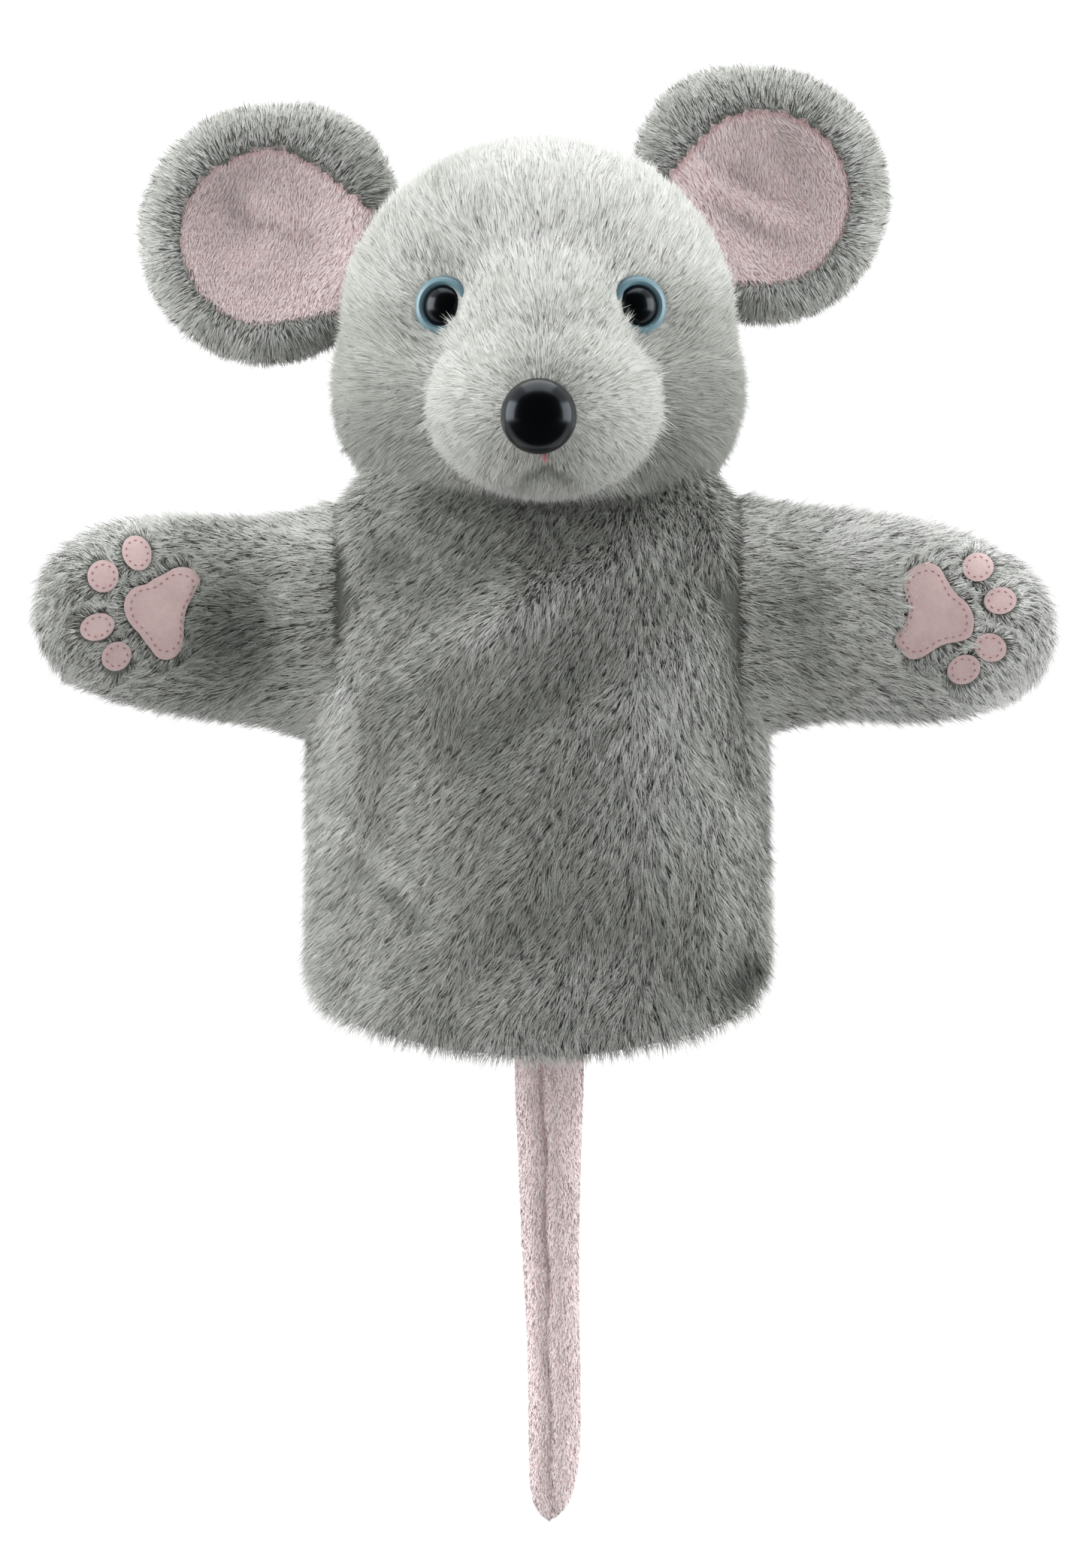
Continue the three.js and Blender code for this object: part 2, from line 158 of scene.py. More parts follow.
# %% [markdown]
# A sleeve, a body or a tail is a tube whose ring changes as it goes. By hand that is a circle, extruded
# and scaled again and again. This helper does those same steps along X or Z.


# %% Extrude a tube ring by ring
def tube(name, sections, along, around=48, close_end=False):
    """Each section is its place, the two coordinates of its middle and its two half widths, in mm."""
    clear_selection()
    turn = (0, math.pi / 2, 0) if along == "X" else (0, 0, 0)
    bpy.ops.mesh.primitive_circle_add(vertices=around, radius=0.001, rotation=turn)
    o = name_it(name)
    bpy.ops.object.transform_apply()
    open_all(o)
    place, size = np.zeros(3), np.ones(3)
    for step, (at, mid_a, mid_b, half_a, half_b) in enumerate(sections):
        goal = np.array([at, mid_a, mid_b] if along == "X" else [mid_a, mid_b, at]) / 1000
        grown = np.array([1, half_a, half_b] if along == "X" else [half_a, half_b, 1])
        if step:
            bpy.ops.mesh.extrude_edges_move(TRANSFORM_OT_translate={"value": tuple(goal - place)})
        else:
            bpy.ops.transform.translate(value=tuple(goal - place))
        bpy.ops.transform.resize(value=tuple(grown / size), center_override=tuple(goal))
        place, size = goal, grown
    if close_end:
        bpy.ops.mesh.merge(type="CENTER")
    bpy.ops.mesh.select_all(action="SELECT")
    bpy.ops.mesh.normals_make_consistent(inside=False)
    bpy.ops.object.mode_set(mode="OBJECT")
    finish_with(o, "SUBSURF", levels=2, render_levels=2)
    bpy.ops.object.shade_smooth()
    print(name, len(o.data.vertices), "vertices")
    return o


# %% [markdown]
# ## Materials
# One function turns sRGB hex to the linear colour that shaders use, and one adds a node with its settings
# and links.


# %% Colour and node helpers
def linear(code):
    """A hex colour as linear red, green, blue and alpha."""
    parts = [int(code[i : i + 2], 16) / 255 for i in (1, 3, 5)]
    return (*[c / 12.92 if c <= 0.04045 else ((c + 0.055) / 1.055) ** 2.4 for c in parts], 1)


def node(tree, kind, links=None, **settings):
    """Adds a node. Settings name its options or input sockets, links feed its sockets."""
    made = tree.nodes.new(kind)
    for key, value in settings.items():
        if hasattr(made, key):
            setattr(made, key, value)
        else:
            made.inputs[key.replace("_", " ")].default_value = value
    for key, source in (links or {}).items():
        tree.links.new(source, made.inputs[key])
    return made


def new_material(name, roughness, **sockets):
    """A material with one Principled shader. Gives the material, its tree and the shader."""
    material = bpy.data.materials.new(name)
    material.use_nodes = True
    shader = material.node_tree.nodes["Principled BSDF"]
    shader.inputs["Roughness"].default_value = roughness
    for key, value in sockets.items():
        shader.inputs[key.replace("_", " ")].default_value = value
    return material, material.node_tree, shader


# %% [markdown]
# ### Acrylic pile
# Plush is knitted acrylic pile. Each fibre is a smooth plastic hair, dull as a whole because there are so
# many. The silver look comes from pale tips over dark roots, so the pile is dyed in steps from charcoal to
# silver, and each strand takes a darker step at its root and a paler one at its tip. A plain colour on
# each step also lets the whole coat be exported as it is, strand by strand.

# %% The dye steps of the pile
GREY_STEPS = ["#2f322f", "#3f423f", "#50534f", "#61645f", "#73766f", "#858881"]
GREY_STEPS += ["#979a93", "#a9aca5", "#bbbdb7", "#cccec8", "#dcdeda", "#ecedea"]
PINK_STEPS = ["#c59a9a", "#d8b3b4", "#e9cacb", "#f4d9da", "#fbe4e4", "#fff0f0"]


def pile_ramp(name, steps, sheen=0.25):
    """One pile material for each step of dye, dark to pale."""
    made = []
    for number, code in enumerate(steps):
        material, _, shader = new_material(
            f"{name}_{number}", 0.62, Sheen_Weight=sheen, Sheen_Roughness=0.5, Specular_IOR_Level=0.25
        )
        shader.inputs["Base Color"].default_value = linear(code)
        made.append(material)
    return made


grey_pile = pile_ramp("acrylic_pile_grey", GREY_STEPS)
pink_pile = pile_ramp("velour_pile_pink", PINK_STEPS, sheen=0.8)
print("pile steps:", len(grey_pile), "grey and", len(pink_pile), "pink")

# %% [markdown]
# ### Knitted backing
# Under the pile is a knitted cloth, seen only where the pile parts and at cut edges. Its loops are about
# 1.2 mm wide and it takes the same dye, darker because no light gets down there.


# %% Knitted backing and velour ground
def knit(name, dark, pale, loop_mm, roughness=0.9):
    """A fine knit: wavy rows of loops with mottled dye."""
    material, tree, shader = new_material(name, roughness, Sheen_Weight=0.3)
    place = node(tree, "ShaderNodeTexCoord").outputs["Object"]
    rows = node(
        tree, "ShaderNodeTexWave", {"Vector": place}, bands_direction="Z", Scale=314 / loop_mm, Distortion=2.0
    )
    mottle = node(tree, "ShaderNodeTexNoise", {"Vector": place}, Scale=180.0, Detail=4.0)
    ends = {"A": linear(dark), "B": linear(pale)}
    colour = node(tree, "ShaderNodeMix", {"Factor": mottle.outputs["Fac"]}, data_type="RGBA", **ends)
    tree.links.new(colour.outputs["Result"], shader.inputs["Base Color"])
    bump = node(tree, "ShaderNodeBump", {"Height": rows.outputs["Fac"]}, Strength=0.3, Distance=0.0003)
    tree.links.new(bump.outputs["Normal"], shader.inputs["Normal"])
    return material


grey_backing = knit("knitted_backing_grey", "#6c6f6a", "#858882", 1.2)
pale_backing = knit("knitted_backing_pale", "#b9bbb6", "#d0d2cd", 1.2)
pink_ground = knit("knitted_velour_pink", "#eccdce", "#fbe6e6", 0.9)
print("backing cloths:", grey_backing.name, pale_backing.name, pink_ground.name)

# %% [markdown]
# ## Growing the pile
# A hair system would look right but leaves nothing to export, so each strand is a real sliver of mesh: a
# ribbon that starts wide, bends once and ends in a point. Roots are spread over the skin by area. A comb
# direction lays them over, and a field of soft waves pulls neighbours together into tufts, which is what
# makes a coat look brushed and not mown. The strands' normals are borrowed mostly from the skin, so that
# the coat shades as one soft body.


# %% Soft waves for tufts and mottling
def waves(points, size, seed):
    """A smooth random field over points in mm, about -1 to 1, and its slope."""
    rng = np.random.default_rng(seed)
    turns = rng.normal(size=(20, 3))
    turns *= (2 * math.pi / size * rng.uniform(0.7, 1.5, 20) / np.linalg.norm(turns, axis=1))[:, None]
    angle = points @ turns.T + rng.uniform(0, 2 * math.pi, 20)
    return np.sin(angle).sum(1) / 5, np.cos(angle) @ turns / 5 * size / 6


def spot(x, z, wide, high):
    """A soft spot: 1 in its middle, which x and z are measured from, and fading out over its radii."""
    return np.exp(-((x / wide) ** 2) - (z / high) ** 2)


def unit(v):
    """Vectors made one long."""
    return v / np.maximum(np.linalg.norm(v, axis=1, keepdims=True), 1e-9)


# %% Scatter roots over a skin
def scatter(skin, per_mm2, rng):
    """Root points in mm and the skin's normals there, evenly spread by area."""
    mesh = skin.data
    mesh.calc_loop_triangles()
    corners = np.empty(len(mesh.loop_triangles) * 3, int)
    mesh.loop_triangles.foreach_get("vertices", corners)
    corners = corners.reshape(-1, 3)
    normals = np.empty(len(mesh.vertices) * 3)
    mesh.vertices.foreach_get("normal", normals)
    a, b, c = (points_of(skin)[corners[:, i]] for i in range(3))
    na, nb, nc = (normals.reshape(-1, 3)[corners[:, i]] for i in range(3))
    area = np.linalg.norm(np.cross(b - a, c - a), axis=1) / 2
    count = int(area.sum() * per_mm2)
    pick = np.searchsorted(np.cumsum(area) / area.sum(), rng.random(count)).clip(0, len(area) - 1)
    u, v = rng.random((2, count, 1))
    u, v = np.where(u + v > 1, 1 - u, u), np.where(u + v > 1, 1 - v, v)
    point = a[pick] * (1 - u - v) + b[pick] * u + c[pick] * v
    return point, unit(na[pick] * (1 - u - v) + nb[pick] * u + nc[pick] * v)


# %% Grow one coat
def grow_pile(name, skin, coat, seed, keep=None):
    """Grows a coat on a skin. The coat says how dense, long, combed and coloured it is."""
    rng = np.random.default_rng(seed)
    root, up = scatter(skin, coat["per_mm2"], rng)
    if keep is not None:
        chosen = keep(root, up) > rng.random(len(root))
        root, up = root[chosen], up[chosen]
    count = len(root)
    tuft, pull = waves(root, coat["tuft"], seed + 1)
    swirl = waves(root, 22, seed + 2)[1]
    flow = unit(coat["comb"](root, up)) + 0.35 * swirl
    flow = unit(flow - up * (flow * up).sum(1, keepdims=True))
    pull = pull - up * (pull * up).sum(1, keepdims=True)
    loose = rng.normal(0, coat["messy"], (count, 3))
    length = coat["length"](root, up) * rng.normal(1, 0.16, count).clip(0.5, 1.5) * (1 + 0.12 * tuft)
    lean = coat["lean"](root, up)[:, None] if callable(coat["lean"]) else coat["lean"]
    low = unit(up + flow * lean * 0.55 + pull * coat["gather"] * 0.5 + loose * 0.6)
    high = unit(up * (1 - 0.35 * lean) + flow * lean * 1.3 + pull * coat["gather"] + loose)
    base = root - up * np.minimum(0.6, 0.08 * length)[:, None]
    knee = base + low * (length * 0.5)[:, None]
    tip = knee + high * (length * 0.55)[:, None]
    side = unit(np.cross(low, up) + 0.02)
    roll = rng.uniform(-0.9, 0.9, (count, 1))
    side = side * np.cos(roll) + np.cross(low, side) * np.sin(roll)
    half = coat["width"] / 2 * rng.uniform(0.75, 1.25, (count, 1))
    side = side * half
    corner = np.stack([base - side, base + side, knee - side, knee + side, tip], 1)
    facing = (np.cross(corner[:, 1] - corner[:, 0], corner[:, 2] - corner[:, 0]) * up).sum(1) < 0
    corner[facing] = corner[facing][:, [1, 0, 3, 2, 4]]
    normal = unit(up * 0.9 + high * 0.25 + flow * 0.1 + rng.normal(0, 0.14, (count, 3)))
    normal = unit(normal + np.array([0, 0, coat.get("sheen_up", 0.0)]))
    o = strands(name, corner, normal)
    # Painted light and shade over the tufts: paler where the field gathers strands, darker between them. The
    # normal spread is random tone.
    tone = coat["shade"](root, up) + 0.03 * tuft + rng.normal(0, 0.04, count)
    fade = 0.13 * coat["silver"]
    # Painted glints: about one strand in seven is made a step paler, standing in for highlights on the
    # fibres.
    tone += 0.9 * fade * (rng.random(count) < 0.14)
    part = np.stack([tone - 0.5 * fade, tone - 0.01, tone + fade], 1) + rng.uniform(-0.04, 0.04, (count, 3))
    dye = np.clip(np.round(part * len(coat["dyes"])), 0, len(coat["dyes"]) - 1).astype(np.int32)
    for material in coat["dyes"]:
        o.data.materials.append(material)
    o.data.polygons.foreach_set("material_index", dye.ravel())
    o.data.update()
    print(name, count, "strands")
    return o


# %% Turn strand corners into one mesh
def strands(name, corner, normal):
    """One mesh of slivers with five corners each, shaded by the given normals."""
    count = len(corner)
    mesh = bpy.data.meshes.new(name)
    mesh.vertices.add(count * 5)
    mesh.vertices.foreach_set("co", (corner / 1000).astype(np.float32).ravel())
    faces = np.array([[0, 1, 3], [0, 3, 2], [2, 3, 4]])
    loops = (np.arange(count)[:, None, None] * 5 + faces).astype(np.int32).ravel()
    mesh.loops.add(len(loops))
    mesh.loops.foreach_set("vertex_index", loops)
    mesh.polygons.add(count * 3)
    mesh.polygons.foreach_set("loop_start", np.arange(0, count * 9, 3, dtype=np.int32))
    mesh.polygons.foreach_set("use_smooth", np.ones(count * 3, bool))
    mesh.update(calc_edges=True)
    mesh.normals_split_custom_set_from_vertices(np.repeat(normal, 5, 0).astype(np.float32))
    o = bpy.data.objects.new(name, mesh)
    bpy.context.scene.collection.objects.link(o)
    return o


# %% The puppet's two sides
SIGN = {"left": 1, "right": -1}

# %% [markdown]
# ## The glove body
# Two panels of long plush are sewn together down the sides, turned right side out and left open at the
# hem. The hem dips in the middle and is rounded at its corners. Here it is one tube from the hem to where
# it goes up into the head: the neck is only gathered, so it is nearly as wide as the cheeks.

# %% Body skin
BODY_RINGS = [(0, 0, 0, 59.2, 26.5), (22, 0, 0, 59.4, 27), (48, 0, 0, 58.8, 27.5), (74, 0, 0, 58.8, 27.5)]
BODY_RINGS += [(98, 0, 0, 59, 27.5), (116, 0, 0, 59, 27.5), (130, 0, 0, 59, 27), (139, 0, 0, 58, 26.5)]
BODY_RINGS += [(145, 0, 0, 54, 26.5), (151, 0, 0, 48.5, 27), (157, 0, 0, 44, 28), (164, 0, 0, 41, 30)]
BODY_RINGS += [(172, 0, 1, 38, 31)]
body_skin = tube("body_backing", BODY_RINGS, "Z", around=64)


def hem_line(x):
    """Height of the hem in mm: an arc of 150 mm radius, with rounded corners."""
    across = np.minimum(np.abs(x), 52)
    corner = np.clip((np.abs(x) - 49) / 10, 0, 1)
    return 150 - np.sqrt(150**2 - across**2) + 14 * (1 - np.sqrt(1 - corner**2 * 0.98))


# Each fold: its middle across and up, half its length and width, its slope in degrees, and its depth.
FOLDS = [(1, 97, 24, 9, 32, 2.6), (-8, 137, 30, 10, 10, 1.8), (-10, 117, 44, 5, 28, -2.0)]
FOLDS += [(46, 126, 7, 2.6, -42, 3.2), (31, 97, 20, 10, 65, -1.8), (19, 89, 6, 1.8, 38, 2.4)]
FOLDS += [(-38, 49, 15, 2.6, -42, 2.4), (-44, 58, 13, 5, -42, -1.4), (6, 35, 28, 9, 4, 1.4)]
FOLDS += [(52, 25, 8, 6, 60, 4.0), (-53, 132, 4, 12, 10, 1.2), (6, 153, 36, 7, 0, 2.6)]
FOLDS += [(52, 95, 4, 14, 5, 1.2), (-30, 104, 16, 6, 28, 1.6), (-50, 96, 8, 20, 0, -1.4)]
FOLDS += [(-36, 134, 6, 8, 20, 1.4), (-52, 24, 6, 5, -30, 1.2)]


def folds_at(folds, x, z):
    """How deep a list of soft folds is at a place, in mm. Ridges are below zero."""
    depth = np.zeros(len(x))
    for x0, z0, long, wide, slope, deep in folds:
        c, s = math.cos(math.radians(slope)), math.sin(math.radians(slope))
        along, off = (x - x0) * c + (z - z0) * s, (z - z0) * c - (x - x0) * s
        depth += deep * np.exp(-((along / long) ** 4) - (off / wide) ** 2)
    return depth


def fold_depth(x, z):
    """The folds on the body's front, a third deeper than drawn, so that they show through the pile."""
    return 1.35 * folds_at(FOLDS, x, z)


def hang_body(p):
    """Raises the hem to its line and folds the front a little, as an empty glove hangs."""
    p[:, 2] += (hem_line(p[:, 0]) + 4) * (1 - np.clip(p[:, 2] / 110, 0, 1))
    front = smooth_step(5, 20, -p[:, 1])
    p[:, 1] += front * fold_depth(p[:, 0], p[:, 2])
    p[:, 1] += waves(p, 60, 5)[0] * 1.3 * smooth_step(4, 20, np.abs(p[:, 1]))
    return p


reshape(body_skin, hang_body)
print("body:", [round(float(v)) for v in points_of(body_skin).min(0)], "mm is its lowest corner")

# %% [markdown]
# ## The arms
# Each arm is a mitten: flat, rounded at its end, and just deep enough for a finger. Both are drawn
# from their own rings, because two sewn arms are never quite the same.

# %% Arm skins
SLEEVE_FROM, PAW_FROM = 52, 70
LEFT_ARM = [(46, 0, 119, 17, 34), (55, 0, 119, 16.5, 30), (64, 0, 119.4, 16, 27), (80, 0, 120.2, 13.5, 25.4)]
LEFT_ARM += [(95, 0, 118.8, 12.5, 25), (107, 0, 117.4, 12, 23.6), (118, 0, 116.8, 11, 20.2)]
LEFT_ARM += [(127, 0, 116.4, 8.5, 15.6), (133, 0, 116, 5.5, 10), (136, 0, 116, 2.5, 4.5)]
RIGHT_ARM = [(-46, 0, 117, 17, 34), (-55, 0, 117, 16.5, 30), (-64, 0, 117.4, 16, 26.5)]
RIGHT_ARM += [(-78, 0, 118.4, 13.5, 24.4), (-92, 0, 119.6, 12.5, 24.4), (-105, 0, 120.4, 12, 23)]
RIGHT_ARM += [(-116, 0, 121, 11, 20.2)]
RIGHT_ARM += [(-124.5, 0, 121, 8.5, 15.6), (-129.5, 0, 121, 5.5, 10), (-132.5, 0, 121, 2.5, 4.5)]
arm_skin = {
    side: tube(f"{side}_arm_backing", rings, "X", close_end=True)
    for side, rings in (("left", LEFT_ARM), ("right", RIGHT_ARM))
}

# %% [markdown]
# ## The head
# A stuffed ball with full cheeks, and a fat muzzle that runs up between the eyes. Balls of stuffing that
# press on one cloth make one surface, so five balls are joined and remeshed, which welds them and leaves a
# soft valley where the muzzle's seam is.

# %% Head skin
HEAD_BALLS = [(0, 5, 197, 50.2, 46, 48), (0, 3, 180, 52.6, 43, 40), (1.6, -36, 172.4, 28, 34, 21.6)]
HEAD_BALLS += [(1.0, -24, 181, 26, 37, 29), (0.8, -37.5, 195, 19.8, 16.5, 23)]


def ball(name, x, y, z, rx, ry, rz, around=48):
    """A ball of stuffing, squashed to its three radii, in mm."""
    clear_selection()
    bpy.ops.mesh.primitive_uv_sphere_add(
        segments=around, ring_count=around // 2, radius=0.001, location=(x / 1000, y / 1000, z / 1000)
    )
    o = name_it(name)
    open_all(o)
    bpy.ops.transform.resize(value=(rx, ry, rz), center_override=(x / 1000, y / 1000, z / 1000))
    bpy.ops.object.mode_set(mode="OBJECT")
    bpy.ops.object.transform_apply()
    return o


balls = [ball(f"head_ball_{i}", *sizes) for i, sizes in enumerate(HEAD_BALLS)]


def narrow_bridge(p):
    """Pulls the long ball of the muzzle in where it runs up between the eyes."""
    p[:, 0] *= 1 - 0.24 * smooth_step(180, 204, p[:, 2])
    return p


def lean_back(p):
    """Leans the ball between the eyes back, so that its top runs out into the forehead."""
    p[:, 1] += 0.62 * (p[:, 2] - 195)
    return p


reshape(balls[3], narrow_bridge)
reshape(balls[4], lean_back)
choose(*balls)
bpy.ops.object.join()
head_skin = name_it("head_backing")
finish_with(head_skin, "REMESH", mode="VOXEL", voxel_size=0.0022)
finish_with(head_skin, "SMOOTH", factor=0.5, iterations=14)
bpy.ops.object.shade_smooth()
print("head:", len(head_skin.data.vertices), "vertices")

# %% [markdown]
# ## The ears
# Each ear is a disc of plush with a pink velour face. The grey plush turns over the rim, so the pink sits
# in a shallow dish. The disc is a flattened ball, and a rule presses its front in.

# %% Ear skins
EARS = {"right": (-73, 14, 222.8, 32.6, 33.0), "left": (60.5, 14, 233.2, 32.2, 32.6)}


def pink_share(side, p):
    """Below 1 inside the pink of an ear: round outside, and drawn out towards the head."""
    x, _, z, _, _ = EARS[side]
    head_way = np.array([-x, 205 - z]) / math.hypot(x, 205 - z)
    off = p[:, [0, 2]] - np.array([x + 1.5 * head_way[0], z - 1.0])
    along, across = off @ head_way, off @ np.array([-head_way[1], head_way[0]])
    reach = np.where(along < 0, 24.0, 38.0)
    wide = 23.2 * (1 - 0.36 * np.clip(along / 30, 0, 1))
    return np.hypot(along / reach, across / wide)


# Each fold of an ear: its middle outwards and up from the ear's, half length and width, slope, depth.
EAR_FOLDS = {
    "right": [(8, 6, 9, 4.5, 60, 2.2), (-11, -1, 18, 4.5, 24, 2.0), (-4, 5, 17, 4, 24, -1.8),
              (-2, -10, 18, 4.5, 10, -1.6)],
    "left": [(-6, 4, 16, 4, -30, 3.0), (-2, -3, 18, 4, -24, -2.4), (8, 10, 9, 4, -50, 2.2)],
}


def ear_skin(side):
    """A dished disc for one ear, with a soft fold towards the head."""
    x, y, z, rx, rz = EARS[side]
    o = ball(f"{side}_ear_backing", x, y, z, rx, 6.5, rz, around=64)

    def dish(p):
        away = np.hypot((p[:, 0] - x) / rx, (p[:, 2] - z) / rz)
        pressed = smooth_step(0.92, 0.25, away)
        p[:, 1] += pressed * np.where(p[:, 1] < y, 8.5, 4.5)
        out = (p[:, 0] - x) * SIGN[side]
        up = p[:, 2] - z
        shoulder = 2 * np.clip(-out / rx, 0, 1) * np.clip(up / rz, 0, 1)
        p[:, 0] -= SIGN[side] * 3.0 * shoulder
        p[:, 2] += 2.5 * shoulder
        p[:, 1] += pressed * folds_at(EAR_FOLDS[side], out, up)
        p[:, 1] += waves(p, 30, 11 if side == "left" else 17)[0] * 0.7 * pressed
        return p

    reshape(o, dish)
    choose(o)
    bpy.ops.object.shade_smooth()
    o.data.materials.append(grey_backing)
    o.data.materials.append(pink_ground)
    middles = np.array([face.center for face in o.data.polygons]) * 1000
    forward = np.array([face.normal[1] for face in o.data.polygons]) < 0
    pink = (pink_share(side, middles) < 1.02) & forward
    o.data.polygons.foreach_set("material_index", pink.astype(np.int32))
    return o


ear_skins = {side: ear_skin(side) for side in EARS}
print("ears:", [len(o.data.vertices) for o in ear_skins.values()], "vertices")

# %% [markdown]
# ## The tail
# A flat tube of pink velour, sewn into the back hem and a little narrower at its end. A seam runs down
# its middle and pulls it into small puckers.

# %% Tail skin
TAIL_RINGS = [(6, 3, 24, 9.2, 4.6), (-8, 3, 24, 8.9, 4.8), (-30, 3.1, 24, 8.0, 4.6), (-55, 3.3, 24, 7.2, 4.2)]
TAIL_RINGS += [(-80, 4.3, 24, 6.6, 4), (-100, 4.6, 24, 6.8, 4), (-113, 4.2, 24, 6.3, 3.7)]
TAIL_RINGS += [(-121, 3.4, 24, 4.8, 2.8), (-125.5, 2.8, 24, 2.4, 1.4)]
tail_skin = tube("tail_velour", TAIL_RINGS, "Z", around=40, close_end=True)


def tail_seam_x(z):
    """Where the tail's seam runs, in mm across."""
    wobble = 0.35 * np.sin(z / 5.5) + 0.25 * np.sin(z * 1.3) * np.sin(z * 0.37)
    return 1.2 + np.clip(-z, 0, 130) * 0.021 + wobble


def pucker(p):
    """Sinks the seam and swells the cloth on both sides of it."""
    off = p[:, 0] - tail_seam_x(p[:, 2])
    groove = np.exp(-((off / 1.2) ** 2)) * (0.9 + 0.3 * np.sin(p[:, 2] * 1.9))
    p[:, 1] += np.where(p[:, 1] < 24, groove, 0)
    p[:, 1] -= np.where(p[:, 1] < 24, 0.5 * np.exp(-(((np.abs(off) - 3.5) / 2) ** 2)), 0)
    for gather_z in (-55, -72):
        p[:, 1] += np.where(p[:, 1] < 24, 0.9 * spot(off, p[:, 2] - gather_z, 4, 1), 0)
    return p


finish_with(tail_skin, "SUBSURF", levels=1, render_levels=1)
reshape(tail_skin, pucker)
print("tail:", len(tail_skin.data.vertices), "vertices")

# %% [markdown]
# ## Combing
# Every coat is brushed its own way. The face is brushed away from the nose, the body down and a little
# to one side, the arms out to the paws, and the ears away from their middles.

# %% Comb directions
NOSE_TIP = np.array([1.0, -74, 166.6])


def comb_face(p, up):
    """Away from the nose, up on the forehead, down on the cheeks, over the crown and down the back."""
    lift = 0.5 * smooth_step(175, 205, p[:, 2]) - 0.3 * smooth_step(190, 165, p[:, 2])
    ahead = unit(p - NOSE_TIP) + np.stack([0 * lift, 0 * lift + 0.1, lift], 1)
    behind = smooth_step(-6, 14, p[:, 1])[:, None]
    return ahead * (1 - behind) + np.array([0, 0.35, -1.0]) * behind


def comb_body(p, up):
    """Down and to one side on the front, straight down on the back and at the far side."""
    slant = np.where(p[:, 1] < 0, -0.75 * smooth_step(45, -5, p[:, 0]) * smooth_step(4, 22, p[:, 2]), 0)
    return np.stack([slant, np.zeros(len(p)), -np.ones(len(p))], 1)


def comb_out(sign):
    """Out along an arm, drooping a little, and down over the end of the paw."""

    def comb(p, up):
        end = smooth_step(104, 132, np.abs(p[:, 0]))
        return np.stack([sign * (1 - 0.8 * end), 0 * end, -0.25 - 0.6 * end], 1)

    return comb


# %% Coats of the body and arms
# Painted shade and painted light on the front of the body, such as the painted shadow under the chin: middle
# across and up, two radii, change.
PAINTED_SHADE_AND_LIGHT = [(0, 151, 42, 8, -0.13), (50, 25, 12, 10, -0.17), (-34, 128, 16, 16, -0.04), (8, 28, 30, 12, 0.08)]
PAINTED_SHADE_AND_LIGHT += [(34, 74, 16, 16, 0.09), (-46, 22, 12, 12, 0.06), (2, 98, 26, 18, 0.05)]


def body_tone(p, up):
    """Mid grey and mottled, with painted shade in the folds, painted patches of shade and light, and painted
    rim light along the hem.
    """
    front = p[:, 1] < 0
    tone = 0.6 + 0.03 * waves(p, 30, 21)[0] + 0.02 * waves(p, 9, 22)[0]
    # Painted patches of shade and light over the front.
    for x, z, wide, high, change in PAINTED_SHADE_AND_LIGHT:
        tone += change * spot(p[:, 0] - x, p[:, 2] - z, wide, high) * front
    # Painted rim light: the pile is paler along the hem.
    edge = 0.08 * smooth_step(14, 2, p[:, 2] - hem_line(p[:, 0]))
    # Painted shade: darker the deeper each fold is.
    return tone + edge - 0.05 * fold_depth(p[:, 0], p[:, 2]) * front - 0.02


body_coat = {
    "per_mm2": 5.8, "length": lambda p, up: np.full(len(p), 5.4), "lean": 0.85, "messy": 0.2, "gather": 0.18,
    "tuft": 3.6, "width": 0.185, "silver": 0.8, "comb": comb_body, "shade": body_tone, "dyes": grey_pile,
}


def on_body(sign, front):
    """One quarter of the body: a side, and its front or its back. The back is a little thinner."""
    share = 0.98 if front else 0.62
    return lambda p, up: share * ((p[:, 1] < 0) == front) * (p[:, 0] * sign >= 0) * (p[:, 2] < 163)


body_pile = {}
for side, sign in SIGN.items():
    for part in ("front", "back"):
        quarter = on_body(sign, part == "front")
        body_pile[side, part] = grow_pile(f"body_pile_{part}_{side}", body_skin, body_coat, 100, quarter)

# %% [markdown]
# ## The paw prints
# A three-lobed palm and four toes are cut from pink felt, 1.4 mm thick, and sewn on by a running stitch
# before the glove is stuffed. The pile is cleared beneath them and stands up round them. A ring of points
# is drawn for each outline, filled with a grid of faces, extruded, bevelled and laid on the arm.

# %% Felt outlines, in mm out from the puppet's middle and up
PALM_OUTLINE = {
    "right": [(91.7, 131.6), (88.9, 129), (90.4, 125), (92.6, 120.5), (93.2, 115.5), (93.6, 111),
              (96.5, 107.8), (100.4, 108.2), (103.4, 112.7), (107.8, 117.6), (109, 122.4), (106.6, 126.4),
              (101, 128), (96, 131.6)],
    "left": [(97.6, 130.8), (102, 133.2), (106, 131.8), (109, 125.8), (113, 122.4), (114.8, 118),
             (113.4, 113.2), (106.5, 111.4), (100.8, 108), (97, 108.2), (93.8, 112.8), (96.8, 117.4),
             (97.6, 121.9), (96.2, 127)],
}
# Each toe: its middle out and up, its two radii, and its tilt in degrees.
TOES = {
    "right": [(105.9, 135.8, 3.8, 5.0, -24), (114.7, 129.6, 4.2, 4.4, -30), (116.2, 116.2, 4.8, 3.5, -18),
              (111.2, 108.5, 4.3, 3.6, -35)],
    "left": [(116.3, 132.2, 4.4, 3.9, 25), (122.0, 123.2, 4.5, 3.6, 10), (119.3, 110.8, 4.4, 3.7, -20),
             (112.3, 105.0, 4.5, 3.8, 20)],
}
FELT_THICK = 1.4
OUTLINE_POINTS = 48


